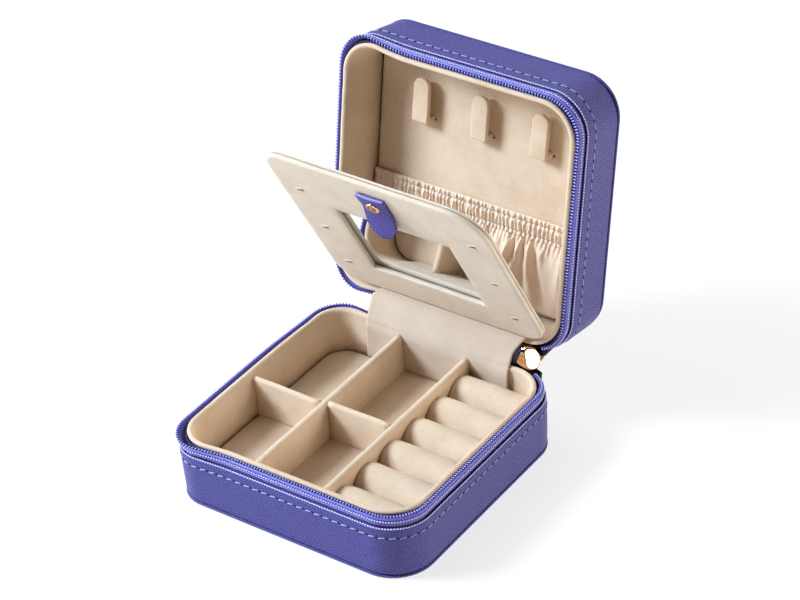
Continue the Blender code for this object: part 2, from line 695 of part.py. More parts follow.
lid_axis = make_empty("lid_axis", axis_pose(HINGE_Y, HINGE_Z, -LID_OPEN))
hinge_home = shift(0, -HINGE_Y, -HINGE_Z)
lid_home = hinge_home @ shift(0, 0, 2 * RIM_Z + GAP) @ Matrix.Rotation(math.pi, 4, "X")

panel_axis = make_empty("panel_axis", axis_pose(PANEL_HINGE_Y, PANEL_HINGE_Z, -PANEL_OPEN))
panel_home = shift(0, -PANEL_HINGE_Y, -PANEL_HINGE_Z)

bend_y, bend_z = from_back(TAB_BEND_FROM_BACK), PANEL_Z - GAP - TAB_THICKNESS
tab_axis = make_empty("tab_axis", panel_axis.matrix_world @ panel_home @ shift(0, bend_y, bend_z))
tab_home = shift(0, -bend_y, -bend_z)

slider_axis = make_empty("slider_axis", axis_pose(SLIDER_PIVOT_Y, SLIDER_PIVOT_Z, -SLIDER_OPEN))
slider_home = shift(0, -SLIDER_PIVOT_Y, -SLIDER_PIVOT_Z)

bridge_y = SLIDER_Y + SLIDER_CHANNEL / 2 + SLIDER_WING + BRIDGE_RISE
bridge_world = slider_axis.matrix_world @ slider_home @ shift(PULLER_X, bridge_y, SLIDER_Z)
puller_axis = make_empty("puller_axis", Matrix.Translation(bridge_world.translation))

build_half("base", None, Matrix(), 1, BASE_FLOOR_Z)
build_half("lid", lid_axis, lid_home, -1, LID_FLOOR_Z)
build_tray()
build_spine()
build_flap()
build_hooks()
build_pocket()
build_panel()
build_tab()
build_slider()
build_puller()
bpy.context.view_layer.update()
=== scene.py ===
"""Looks of the travel jewelry case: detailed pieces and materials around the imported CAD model.

All lengths are in millimetres, in the same frame as the CAD: X along the hinge, +Y to the back, +Z up,
origin in the middle of the underside. The lid's pieces are drawn with the lid's outer side down and the
mirror panel's as it lies closed; PLACES then puts them where they stand at rest.
"""

import json
import math
import random

import bmesh
import bpy
import numpy as np
from mathutils import Matrix, Vector, noise


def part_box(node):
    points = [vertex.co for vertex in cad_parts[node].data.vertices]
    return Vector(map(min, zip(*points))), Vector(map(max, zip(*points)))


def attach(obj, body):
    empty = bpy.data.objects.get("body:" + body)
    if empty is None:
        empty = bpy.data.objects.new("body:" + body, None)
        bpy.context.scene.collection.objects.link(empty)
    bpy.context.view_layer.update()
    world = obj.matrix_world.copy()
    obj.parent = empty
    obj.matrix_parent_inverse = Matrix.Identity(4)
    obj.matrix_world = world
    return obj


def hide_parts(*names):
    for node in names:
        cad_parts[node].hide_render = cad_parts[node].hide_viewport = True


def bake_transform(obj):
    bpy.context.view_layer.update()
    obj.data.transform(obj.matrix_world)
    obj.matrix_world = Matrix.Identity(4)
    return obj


MM = 0.001
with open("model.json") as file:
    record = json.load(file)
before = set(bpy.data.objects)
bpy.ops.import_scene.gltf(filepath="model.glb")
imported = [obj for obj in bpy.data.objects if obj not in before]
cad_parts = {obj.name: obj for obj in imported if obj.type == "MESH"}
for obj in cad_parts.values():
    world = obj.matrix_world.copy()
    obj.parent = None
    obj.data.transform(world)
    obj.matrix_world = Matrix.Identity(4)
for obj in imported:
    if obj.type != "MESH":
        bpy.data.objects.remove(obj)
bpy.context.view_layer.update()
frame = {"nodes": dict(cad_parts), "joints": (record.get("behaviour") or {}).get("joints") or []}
joints = {joint["name"]: joint for joint in frame["joints"]}


# -------- places --------
def shift(x, y, z):
    return Matrix.Translation((x, y, z))


def turn(degrees, axis="X"):
    return Matrix.Rotation(math.radians(degrees), 4, axis)


def opened(joint):
    """How a body stands at rest, from where it lies with the case closed."""
    _, y, z = (value / MM for value in joints[joint]["pos_m"])
    return shift(0, y, z) @ turn(-joints[joint]["range_deg"][1]) @ shift(0, -y, -z)


CLOSED_HEIGHT = 52.7
LID = opened("lid_hinge") @ shift(0, 0, CLOSED_HEIGHT) @ turn(180)
PANEL = opened("panel_fold")
PLACES = {"base": Matrix(), "lid": LID, "panel": PANEL, "slider": opened("slider_tilt")}
SIDES = {"base": 1, "lid": -1}               # in the lid's own drawing the hinge is on the -Y side
HINGE_Y, HINGE_Z = (value / MM for value in joints["lid_hinge"]["pos_m"][1:])

CASE_HALF, CASE_CORNER = 50.0, 16.5
CORNER_SHARES = (0.88, 0.94, 0.72, 0.72)     # back right, front right, front left, back left
INNER_HALF, LINER_CORNER = 45.2, 13.0
CASE, INNER = (CASE_HALF, CASE_CORNER), (INNER_HALF, LINER_CORNER)
BAND_TOP = 21.0
TOOTH_LEAN_Z = 25.4                          # the teeth lean as far as the wall would at this height
BASE_FLOOR, LID_FLOOR = 8.5, 7.4
RIM_Z = 26.2
ZIP_RIGHT_X, ZIP_LEFT_X = 41.0, -28.0
TOOTH_PITCH, BEAD_PITCH, STITCH_PITCH = 1.2, 1.05, 3.7


# -------- mesh helpers --------
def in_scene(name, data):
    thing = bpy.data.objects.new(name, data)
    bpy.context.scene.collection.objects.link(thing)
    return thing


def add_piece(name, mesh, material, body, nodes):
    """A piece on its body. Without a body, it stays unattached."""
    mesh.materials.append(material)
    piece = in_scene(name, mesh)
    if body:
        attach(piece, body)
    if nodes:
        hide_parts(*nodes)
    return piece


def surface(name, rows, material, body, place=None, nodes=(), us=None, vs=None, wrap_u=False, wrap_v=False,
            caps=False):
    """A piece over a grid of points rows[i][j], with outward normals and a uv in mm at each face corner.

    wrap_u joins the last row to the first and wrap_v the last column; caps closes the open ends.
    """
    count_u, count_v = len(rows), len(rows[0])
    points = [point for row in rows for point in row]
    us = us or range(count_u + 1)
    vs = vs or range(count_v + 1)
    faces, uvs = [], []
    for i in range(count_u if wrap_u else count_u - 1):
        for j in range(count_v if wrap_v else count_v - 1):
            i2, j2 = (i + 1) % count_u, (j + 1) % count_v
            faces.append((i * count_v + j, i2 * count_v + j, i2 * count_v + j2, i * count_v + j2))
            uvs.append(((us[i], vs[j]), (us[i + 1], vs[j]), (us[i + 1], vs[j + 1]), (us[i], vs[j + 1])))
    if caps and not wrap_u:
        for row in (0, count_u - 1):
            faces.append(tuple(row * count_v + j for j in range(count_v)))
            uvs.append([(us[row], vs[j]) for j in range(count_v)])
    if caps and not wrap_v:
        for column in (0, count_v - 1):
            faces.append(tuple(i * count_v + column for i in range(count_u)))
            uvs.append([points[i * count_v + column][:2] for i in range(count_u)])

    shape = bmesh.new()
    matrix = Matrix.Scale(MM, 4) @ (PLACES[body] if place is None else place)
    made = [shape.verts.new(matrix @ Vector(point)) for point in points]
    layer = shape.loops.layers.uv.new("Metric")
    for corners, corner_uvs in zip(faces, uvs):
        face = shape.faces.new([made[corner] for corner in corners])
        face.smooth = True
        for loop, uv in zip(face.loops, corner_uvs):
            loop[layer].uv = uv
    bmesh.ops.recalc_face_normals(shape, faces=shape.faces)
    mesh = bpy.data.meshes.new(name)
    shape.to_mesh(mesh)
    shape.free()
    return add_piece(name, mesh, material, body, nodes)


def lengths(points, wrap=False):
    """The distance walked at each point; a wrapped run also gets its whole length."""
    walked = [0.0]
    run = list(points) + ([points[0]] if wrap else [])
    for before, after in zip(run, run[1:]):
        walked.append(walked[-1] + math.dist(before, after))
    return walked


def round_the_case(square, side, walked):
    """(x, y, nx, ny) on a square with round corners, walked from the middle of the hinge side to +X."""
    half, corner = square
    bends = [corner * share for share in CORNER_SHARES]
    runs = [half - bends[0]]
    for bend, following in zip(bends, bends[1:] + [half]):
        runs += [math.pi / 2 * bend, 2 * half - bend - following]
    walked = walked % sum(runs)
    angle = math.pi / 2
    x, y = 0.0, half
    for number, length in enumerate(runs):
        step = min(walked, length)
        if number % 2 == 0:
            x, y = x + math.sin(angle) * step, y - math.cos(angle) * step
        else:
            bend = bends[number // 2]
            centre = (x - bend * math.cos(angle), y - bend * math.sin(angle))
            angle -= step / bend
            x, y = centre[0] + bend * math.cos(angle), centre[1] + bend * math.sin(angle)
        walked -= step
        if walked <= 0:
            break
    return x, side * y, math.cos(angle), side * math.sin(angle)


def case_length(square=CASE):
    return 8 * square[0] + (math.pi / 2 - 2) * square[1] * sum(CORNER_SHARES)


def case_outline(square, count):
    return [round_the_case(square, 1, case_length(square) * k / count)[:2] for k in range(count)]


def zip_span():
    """Where the teeth start and stop along the walk round the case."""
    bend = CASE_CORNER * CORNER_SHARES[0]
    start = CASE_HALF - bend
    return start + math.asin(min((ZIP_RIGHT_X - start) / bend, 1.0)) * bend, case_length() + ZIP_LEFT_X


def ease(value):
    value = min(max(value, 0.0), 1.0)
    return value * value * (3 - 2 * value)


def flare(x, hinge_y, height):
    """How far the wall leans out of line: on the left side it falls open, less so towards the hinge."""
    leather = 1.1 * min(max(height, 0.0) / BAND_TOP, 1.0) ** 1.5
    tape = 1.6 * max(height - BAND_TOP, 0.0) / 4.5
    return (leather + tape) * ease((-x - 22) / 24) * (1 - 0.55 * ease((hinge_y - 5) / 40))


def inner_flare(half):
    """The board and lining lean too: in the base a little less than the tape, so a gap opens there."""
    share = {"base": 0.66, "lid": 0.95}[half]
    return lambda x, hinge_y, height: share * flare(x, hinge_y, height)


def on_wall(half, walked, offset, height, lean_z, corner_push=0.0):
    """A spot on the leaning wall, and the wall's outward direction there."""
    x, y, nx, ny = round_the_case(CASE, SIDES[half], walked)
    out = offset + flare(x, SIDES[half] * y, lean_z) + corner_push * ease((-x - 34) / 12)
    return (x + nx * out, y + ny * out, height), nx, ny


def wobble(point, size, amount, seed=0.0):
    return noise.noise(Vector((point[0] / size + seed, point[1] / size, point[2] / size))) * amount


def sweep(name, profile, material, half, square=CASE, span=None, spacing=1.3, soft=0.0, nodes=(), lean=flare):
    """A closed profile of (offset outwards, height) carried round the case, or along a span of the walk."""
    side = SIDES[half]
    start, stop = span or (0.0, case_length(square))
    steps = max(int((stop - start) / spacing), 8)
    rows, us = [], []
    for step in range(steps + (1 if span else 0)):
        walked = start + (stop - start) * step / steps
        x, y, nx, ny = round_the_case(square, side, walked)
        row = []
        for offset, height in profile:
            extra = wobble((x, y, height), 9.0, soft) if soft else 0.0
            out = offset + extra + lean(x, side * y, height)
            row.append((x + nx * out, y + ny * out, height + extra * 0.5))
        rows.append(row)
        us.append(walked)
    us.append(stop)
    return surface(name, rows, material, half, None, nodes, us, lengths(profile, wrap=True), wrap_u=not span,
                   wrap_v=True, caps=bool(span))


def outline_normals(outline):
    following = outline[1:] + outline[:1]
    area = sum(a[0] * b[1] - b[0] * a[1] for a, b in zip(outline, following))
    sign = 1 if area > 0 else -1
    normals = []
    for before, after in zip(outline[-1:] + outline[:-1], following):
        dx, dy = after[0] - before[0], after[1] - before[1]
        length = math.hypot(dx, dy) or 1.0
        normals.append((sign * dy / length, -sign * dx / length))
    return normals


def ring_solid(name, outline, profile, material, body, place=None, soft=0.0, nodes=()):
    """A closed body whose rings are the outline moved outwards by each (offset, height), with flat ends."""
    rows = []
    for (x, y), (nx, ny) in zip(outline, outline_normals(outline)):
        row = []
        for offset, height in profile:
            extra = wobble((x, y, height), 7.0, soft) if soft else 0.0
            row.append((x + nx * (offset + extra), y + ny * (offset + extra), height + extra * 0.3))
        rows.append(row)
    return surface(name, rows, material, body, place, nodes, lengths(outline, wrap=True), lengths(profile),
                   wrap_u=True, caps=True)


def circle(count):
    return [(math.cos(2 * math.pi * k / count), math.sin(2 * math.pi * k / count)) for k in range(count)]


def arc(x, y, radius, start, end, steps):
    return [(x + radius * math.cos(math.radians(start + (end - start) * k / steps)),
             y + radius * math.sin(math.radians(start + (end - start) * k / steps))) for k in range(steps + 1)]


def rounded_box(x0, x1, y0, y1, radius, steps=4, spacing=4.0):
    """A rectangle with round corners, anticlockwise, with points along its sides too."""
    corners = [arc(x, y, radius, start, start + 90, steps) for x, y, start in
               ((x1 - radius, y1 - radius, 0), (x0 + radius, y1 - radius, 90),
                (x0 + radius, y0 + radius, 180), (x1 - radius, y0 + radius, 270))]
    points = []
    for index, corner in enumerate(corners):
        points += corner
        start, stop = corner[-1], corners[(index + 1) % 4][0]
        parts = max(int(math.dist(start, stop) / spacing), 1)
        points += [(start[0] + (stop[0] - start[0]) * k / parts, start[1] + (stop[1] - start[1]) * k / parts)
                   for k in range(1, parts)]
    return points


def capsule(length, radius, around=8, cap=3, scale=(1, 1, 1)):
    """A round-ended rod along X, as points and faces."""
    straight = max(length / 2 - radius, 0.0)
    profile = [(-straight - radius * math.cos(math.pi / 2 * k / cap), radius * math.sin(math.pi / 2 * k / cap))
               for k in range(1, cap + 1)]
    profile += [(-x, r) for x, r in reversed(profile)]
    verts = [(-straight - radius, 0, 0)]
    for x, r in profile:
        verts += [(x, r * c, r * s) for c, s in circle(around)]
    verts.append((straight + radius, 0, 0))
    faces = [(0, 1 + (k + 1) % around, 1 + k) for k in range(around)]
    for ring in range(len(profile) - 1):
        low, high = 1 + ring * around, 1 + (ring + 1) * around
        faces += [(low + k, low + (k + 1) % around, high + (k + 1) % around, high + k) for k in range(around)]
    last, tip = 1 + (len(profile) - 1) * around, len(verts) - 1
    faces += [(last + k, last + (k + 1) % around, tip) for k in range(around)]
    return np.array(verts, float) * np.array(scale), faces


def stamp(name, shape, places, material, body, nodes=()):
    """Many copies of one small shape in one piece. places are 4x4 matrices in mm."""
    verts, faces = shape
    count = len(verts)
    homogeneous = np.c_[verts, np.ones(count)]
    points, all_faces = [], []
    for number, matrix in enumerate(places):
        points.append(homogeneous @ np.array(matrix, float).T[:, :3])
        all_faces += [tuple(corner + number * count for corner in face) for face in faces]
    points = np.concatenate(points)
    whole = np.c_[points, np.ones(len(points))] @ np.array(Matrix.Scale(MM, 4) @ PLACES[body], float).T[:, :3]
    mesh = bpy.data.meshes.new(name)
    mesh.from_pydata(whole.tolist(), [], all_faces)
    mesh.shade_smooth()
    return add_piece(name, mesh, material, body, nodes)


def axes(origin, x_axis, z_axis):
    """A matrix with the given origin and X axis, and its Z axis near the given one."""
    x_axis = Vector(x_axis).normalized()
    y_axis = Vector(z_axis).cross(x_axis).normalized()
    matrix = Matrix((x_axis, y_axis, x_axis.cross(y_axis))).transposed().to_4x4()
    matrix.translation = origin
    return matrix


def tube(name, points, radius, material, body, place=None, around=10, cyclic=False, nodes=()):
    rows = []
    count = len(points)
    for index, point in enumerate(points):
        before = points[index - 1] if (cyclic or index) else point
        after = points[(index + 1) % count] if (cyclic or index < count - 1) else point
        along = (Vector(after) - Vector(before)).normalized()
        across = along.cross(Vector((0.13, 0.31, 0.94))).normalized()
        other = along.cross(across)
        rows.append([tuple(Vector(point) + radius * (c * across + s * other)) for c, s in circle(around)])
    return surface(name, rows, material, body, place, nodes, wrap_u=cyclic, wrap_v=True, caps=not cyclic)


# -------- materials --------
class Finish:
    """A material whose nodes are being wired. Its colour, roughness and bump come from these nodes."""

    def __init__(self, name, colour, roughness, metallic=0.0, **sockets):
        self.material = bpy.data.materials.new(name)
        self.material.use_nodes = True
        self.shader = self.material.node_tree.nodes["Principled BSDF"]
        self.colour = colour
        sockets.update(Base_Color=(*colour, 1.0), Roughness=roughness, Metallic=metallic)
        for socket, value in sockets.items():
            self.shader.inputs[socket.replace("_", " ")].default_value = value

    def node(self, kind, inputs, output=0, **settings):
        made = self.material.node_tree.nodes.new(f"ShaderNode{kind}")
        for key, value in settings.items():
            setattr(made, key, value)
        for socket, value in inputs.items():
            if isinstance(value, bpy.types.NodeSocket):
                self.material.node_tree.links.new(value, made.inputs[socket])
            else:
                made.inputs[socket].default_value = value
        return made.outputs[output]

    def wire(self, socket, output):
        self.material.node_tree.links.new(output, self.shader.inputs[socket])

    def plus(self, one, two):
        return self.node("Math", {0: one, 1: two}, operation="ADD")

    def times(self, one, two):
        return self.node("Math", {0: one, 1: two}, operation="MULTIPLY")

    def metric_uv(self):
        return self.node("UVMap", {}, "UV", uv_map="Metric")

    def noise(self, scale, detail=2.0, roughness=0.5, at=None):
        place = self.node("TexCoord", {}, "Object") if at is None else at
        return self.node("TexNoise", {"Vector": place, "Scale": scale, "Detail": detail,
                                      "Roughness": roughness}, "Fac")

    def stripes(self, uv, period, degrees, distortion, detail_scale=1.0):
        """Soft parallel ridges at an angle across the surface, their period in mm."""
        turned = self.node("Mapping", {"Vector": uv, "Rotation": (0, 0, math.radians(degrees))})
        return self.node("TexWave", {"Vector": turned, "Scale": 0.31416 / period, "Distortion": distortion,
                                     "Detail": 2.0, "Detail Scale": detail_scale}, "Fac",
                         wave_type="BANDS", bands_direction="X", wave_profile="SIN")

    def shade(self, factor):
        return tuple(min(channel * factor, 1.0) for channel in self.colour)

    def tint(self, value, *stops):
        """Base colour from (position, colour) stops along a value."""
        ramp = self.node("ValToRGB", {"Fac": value}, "Color")
        elements = ramp.node.color_ramp.elements
        while len(elements) < len(stops):
            elements.new(0.5)
        for element, (position, colour) in zip(elements, stops):
            element.position = position
            element.color = (*colour, 1.0)
        self.wire("Base Color", ramp)

    def gloss(self, value, low, high, roughness_low, roughness_high):
        self.wire("Roughness", self.node("MapRange", {"Value": value, "From Min": low, "From Max": high,
                                                      "To Min": roughness_low, "To Max": roughness_high}))

    def bump(self, height, distance, strength=1.0):
        """The last step of a finish: its relief, in metres."""
        self.wire("Normal", self.node("Bump", {"Height": height, "Distance": distance, "Strength": strength},
                                      "Normal"))
        return self.material


def leather(name, colour, grain=0.74, angles=(28, -48), split=3.0, glint=2.6):
    """Cross-hatched pressed grain under a thin coat, painted darker in its valleys as painted shade and lighter on
    its ridges as painted highlight.
    """
    finish = Finish(name, colour, 0.5, Coat_Weight=0.04, Coat_Roughness=0.3, Specular_IOR_Level=0.3)
    uv = finish.metric_uv()
    one, two = (finish.stripes(uv, grain, angle, 2.4, 0.9) for angle in angles)
    patch = finish.noise(0.55, 3.0, at=uv)
    share = finish.node("Clamp", {"Value": finish.plus(finish.times(finish.plus(patch, -0.5), split), 0.5)})
    weave = finish.node("Mix", {"Factor": share, "A": one, "B": two})
    crossed = finish.times(finish.plus(weave, finish.times(one, two)), 0.6)
    height = finish.plus(finish.times(crossed, 0.8), finish.times(finish.noise(3.2, at=uv), 0.5))
    # painted shade in the grain's valleys, painted highlight (glint) on its ridges
    finish.tint(height, (0.28, finish.shade(0.5)), (0.55, colour), (0.85, finish.shade(glint)))
    finish.gloss(height, 0.2, 1.0, 0.58, 0.36)
    return finish.bump(height, 0.0002)


def woven(name, colour, period=0.55, roughness=0.75, contrast=0.35):
    """A ribbed tape or a thread: short ridges across it, broken into a weave."""
    finish = Finish(name, colour, roughness, Sheen_Weight=0.25, Sheen_Roughness=0.4)
    uv = finish.metric_uv()
    both = finish.times(finish.stripes(uv, period, 0, 0.4), finish.stripes(uv, period * 1.3, 90, 0.3))
    height = finish.plus(both, finish.times(finish.noise(1.8, 3.0, at=uv), 0.6))
    finish.tint(height, (0.15, finish.shade(1 - contrast)), (0.5, colour),
                (0.95, finish.shade(1 + 2.2 * contrast)))
    return finish.bump(height, 0.0001)


def velvet(name, colour, warm):
    """Short pile: fine fibre grain, brushed patches, a soft sheen, and a warmer, darker colour where the fibre and
    patch noise is low: painted shade in the pile's hollows and uneven tone in the patches.
    """
    finish = Finish(name, colour, 0.95, Sheen_Weight=0.08, Sheen_Roughness=0.5,
                    Sheen_Tint=(1.0, 0.95, 0.88, 1.0), Specular_IOR_Level=0.15)
    pile = finish.noise(1900.0, 3.0, 0.7)
    height = finish.plus(finish.times(pile, 0.6), finish.times(finish.noise(95.0, 3.0, 0.6), 0.5))
    # the warm stop is painted shade in the pile's hollows, and uneven tone in the patches
    finish.tint(height, (0.42, warm), (0.54, colour), (0.66, finish.shade(1.06)))
    return finish.bump(pile, 0.00018, 0.9)


def cloth(name, colour, dark, sheen, roughness, scale=2600.0):
    """A thin plain-woven lining cloth with a little satin."""
    finish = Finish(name, colour, roughness, Sheen_Weight=sheen, Sheen_Roughness=0.35,
                    Sheen_Tint=(1.0, 0.93, 0.86, 1.0), Specular_IOR_Level=0.3)
    thread = finish.noise(scale, 2.0, 0.6)
    mixed = finish.plus(finish.times(thread, 0.5), finish.times(finish.noise(140.0, 3.0, 0.6), 0.5))
    finish.tint(mixed, (0.32, dark), (0.56, colour), (0.8, finish.shade(1.05)))
    return finish.bump(thread, 0.00008, 0.6)


def polished(name, colour, roughness, metallic, spread, scale=400.0, **sockets):
    """A smooth hard surface whose gloss varies a little, as plating and moulded plastic do."""
    finish = Finish(name, colour, roughness, metallic, **sockets)
    smear = finish.noise(scale, 4.0, 0.6)
    finish.gloss(smear, 0.3, 0.7, roughness - spread / 2, roughness + spread / 2)
    finish.tint(smear, (0.3, finish.shade(0.93)), (0.7, finish.shade(1.04)))
    return finish.material


def plain(name, colour, roughness, scale, distance, detail=2.0, **sockets):
    """One colour with a fine relief, for thin edges and shaded gaps."""
    finish = Finish(name, colour, roughness, **sockets)
    return finish.bump(finish.noise(scale, detail), distance)


LEATHER = leather("leather_violet", (0.050, 0.045, 0.190))
LEATHER_TAB = leather("leather_tab", (0.032, 0.026, 0.125), grain=0.85, angles=(30, -52), split=0.6, glint=5.5)
# lighter than the leather: a painted highlight on the band's beaded top edge and on the tab's fold
LEATHER_EDGE_HIGHLIGHT = plain("leather_edge_painted_highlight", (0.19, 0.18, 0.52), 0.42, 1400.0, 0.0001, Coat_Weight=0.2)
TAPE = woven("zip_tape_violet", (0.115, 0.107, 0.40))
# near black: the tape's ends and the slider's ribbon, darkened as painted shade
TAPE_PAINTED_SHADE = woven("tape_in_painted_shade", (0.011, 0.006, 0.04), 0.6, 0.6)
COIL = polished("zip_coil_violet", (0.135, 0.127, 0.52), 0.34, 0.0, 0.1, 900.0, Coat_Weight=0.2)
# light lilac: the zip's binding thread, and also painted glints on the teeth's heads and along the leather's top edge
THREAD_AND_GLINTS = woven("zip_thread_and_painted_glints", (0.74, 0.73, 0.98), 0.4, 0.6, 0.06)
THREAD = woven("thread_lilac", (0.43, 0.41, 0.66), 0.35, 0.6, 0.25)
WHITE_THREAD = woven("thread_white", (0.86, 0.83, 0.8), 0.35, 0.6, 0.15)
# dark patches at the needle holes: painted shade in the holes
HOLE_PAINTED_SHADE = plain("needle_hole_painted_shade", (0.012, 0.008, 0.03), 0.9, 1500.0, 0.00005)
SLIT = plain("slit_shade", (0.17, 0.095, 0.055), 0.95, 1500.0, 0.00005)
VELVET = velvet("velvet_cream", (0.70, 0.55, 0.405), (0.65, 0.475, 0.325))
PANEL_VELVET = velvet("velvet_panel", (0.72, 0.62, 0.50), (0.665, 0.555, 0.44))
FLAP_CLOTH = cloth("cloth_flap", (0.58, 0.475, 0.375), (0.525, 0.415, 0.31), 0.2, 0.85, 2000.0)
POCKET_CLOTH = cloth("cloth_pocket", (0.80, 0.645, 0.505), (0.74, 0.56, 0.415), 0.3, 0.55)
GOLD = polished("gold_plating", (0.90, 0.63, 0.38), 0.1, 1.0, 0.05)
MIRROR = polished("mirror_glass", (0.86, 0.875, 0.87), 0.02, 1.0, 0.01, 60.0)
# dark: the board's edge shows only in the gap between tape and lining, as painted shade there
BOARD_PAINTED_SHADE = plain("board_dark_as_gap_shade", (0.035, 0.022, 0.11), 0.85, 1200.0, 0.0001, 3.0)


def dress(name, material):
    """Give a CAD node that stays in view its finished material."""
    piece = frame["nodes"][name]
    piece.data.materials.clear()
    piece.data.materials.append(material)


# -------- the two halves --------
def leather_band(half, stitch_z):
    """The side leather, its beaded edge coloured lighter as a painted highlight with a row of light dots along it as
    painted glints, and the row of stitches with their needle holes drawn as dark patches of painted shade.
    """
    low, top = 1.5, BAND_TOP
    profile = [(-0.95, low), (-0.45, low), (-0.14, low + 0.14), (0.0, low + 0.5), (0.05, 5.0), (0.1, 9.0),
               (0.1, 13.0), (0.06, stitch_z - 1.3), (0.02, stitch_z - 0.55), (-0.1, stitch_z),
               (0.02, stitch_z + 0.55), (0.06, stitch_z + 1.2), (0.0, top - 0.75), (-0.12, top - 0.3),
               (-0.38, top), (-0.7, top), (-0.95, top - 0.3)]
    sweep(f"{half}_band", profile, LEATHER, half, spacing=1.1, nodes=[f"{half}_side_leather"])
    # the bead is coloured lighter than the leather, as a painted highlight on the top edge
    bead = [(x - 0.45, z + top - 0.05) for x, z in arc(0, 0, 0.3, 0, 330, 11)]
    sweep(f"{half}_band_edge", bead, LEATHER_EDGE_HIGHLIGHT, half)

    total = case_length()
    count = int(total / STITCH_PITCH)
    edge_glints, stitches, holes = [], [], []
    # light dots along the leather's top edge, as painted glints
    for number in range(int(total / BEAD_PITCH)):
        spot, nx, ny = on_wall(half, number * BEAD_PITCH, -0.26, top + 0.2, top)
        edge_glints.append(axes(spot, (-ny, nx, 0.3), (nx, ny, 1)))
    for number in range(count):
        spot, nx, ny = on_wall(half, total * (number + 0.5) / count, 0.02, stitch_z, stitch_z)
        stitches.append(axes(spot, (-ny, nx, 0.16), (nx, ny, 0)))
        # a dark patch at each needle hole, as painted shade in the hole
        spot, nx, ny = on_wall(half, total * (number + 1) / count, -0.08, stitch_z, stitch_z)
        holes.append(axes(spot, (-ny, nx, 0), (nx, ny, 0)))
    stamp(f"{half}_band_edge_glints", capsule(0.78, 0.25, 6, 2), edge_glints, THREAD_AND_GLINTS, half)
    stamp(f"{half}_stitches", capsule(2.4, 0.22), stitches, THREAD, half)
    stamp(f"{half}_needle_holes", capsule(0.9, 0.3), holes, HOLE_PAINTED_SHADE, half)


def end_leather(half, node_name):
    """The flat outer face, with a turned edge that stands a little proud as a welt."""
    profile = [(-10.0, 0.0), (-4.0, 0.0), (-0.6, 0.0), (-0.1, 0.08), (0.14, 0.32), (0.18, 0.62), (0.05, 0.92),
               (-0.5, 1.05), (-10.0, 1.05)]
    ring_solid(f"{half}_end", case_outline(CASE, 200), profile, LEATHER, half, nodes=[node_name])


def board(half):
    """The stiff board under the leather; only its edge is glimpsed, between tape and lining, and its dark colour is
    painted shade for that gap.
    """
    wall = [(-2.95, 1.05), (-2.95, 24.3), (-3.05, 24.5), (-3.45, 24.5), (-3.55, 24.3), (-3.55, 1.05)]
    sweep(f"{half}_board", wall, BOARD_PAINTED_SHADE, half, nodes=[f"{half}_shell"], lean=inner_flare(half))
    inset = 2.3
    ring_solid(f"{half}_board_floor", case_outline((CASE_HALF - inset, CASE_CORNER - inset), 160),
               [(-6.0, 1.06), (0.0, 1.06), (0.0, 2.4), (-6.0, 2.4)], BOARD_PAINTED_SHADE, half)


def zip_half(half):
    """Tape, coil and teeth, with a light cap on each tooth's head as painted highlight, and the thread that binds the
    coil to the tape.
    """
    start, stop = zip_span()
    tape = [(-1.65, 12.0), (-1.65, 20.9), (-1.5, 21.5), (-1.05, 22.1), (-0.92, 22.7), (-0.95, 23.3),
            (-1.2, 24.0), (-1.6, 24.5), (-2.0, 24.4), (-1.95, 23.4), (-1.75, 22.6), (-1.9, 21.6), (-2.1, 20.6),
            (-2.1, 12.0)]
    sweep(f"{half}_tape", tape, TAPE, half, span=(start - 1, stop + 3), spacing=1.0, nodes=[f"{half}_zip_tape"])
    for number, (offset, height, radius) in enumerate(((-1.28, 24.62, 0.5), (-1.0, 22.55, 0.22))):
        cord = [(x + offset, z + height) for x, z in arc(0, 0, radius, 0, 324, 9)]
        sweep(f"{half}_coil_cord_{number}", cord, COIL, half, span=(start, stop), spacing=1.0)

    count = int((stop - start) / TOOTH_PITCH)
    teeth, head_glints, binding = [], [], []
    for number in range(count):
        walked = start + (stop - start) * (number + 0.5) / count
        spot, nx, ny = on_wall(half, walked, -1.95, 25.25, TOOTH_LEAN_Z, 0.65)
        teeth.append(axes(spot, (-ny, nx, 0.0), (nx * 0.45, ny * 0.45, 1)))
        # a light cap on each tooth's head, as painted highlight
        spot, nx, ny = on_wall(half, walked, -1.65, 25.62, TOOTH_LEAN_Z, 0.65)
        head_glints.append(axes(spot, (nx, ny, 0.2), (0, 0, 1)))
    for number in range(int((stop - start) / BEAD_PITCH)):
        spot, nx, ny = on_wall(half, start + (number + 0.5) * BEAD_PITCH, -0.86, 23.65, 23.6)
        binding.append(axes(spot, (-ny, nx, 0.45), (nx, ny, 0)))
    tooth = capsule(2.0, 1.0, 10, 4, (0.37, 0.72, 0.46))
    stamp(f"{half}_teeth", tooth, teeth, COIL, half, [f"{half}_zip_coil"])
    stamp(f"{half}_tooth_head_glints", capsule(0.55, 0.19, 6, 2), head_glints, THREAD_AND_GLINTS, half)
    stamp(f"{half}_binding", capsule(0.72, 0.3, 6, 2), binding, THREAD_AND_GLINTS, half)
    dress(f"{half}_zip_stop", GOLD)


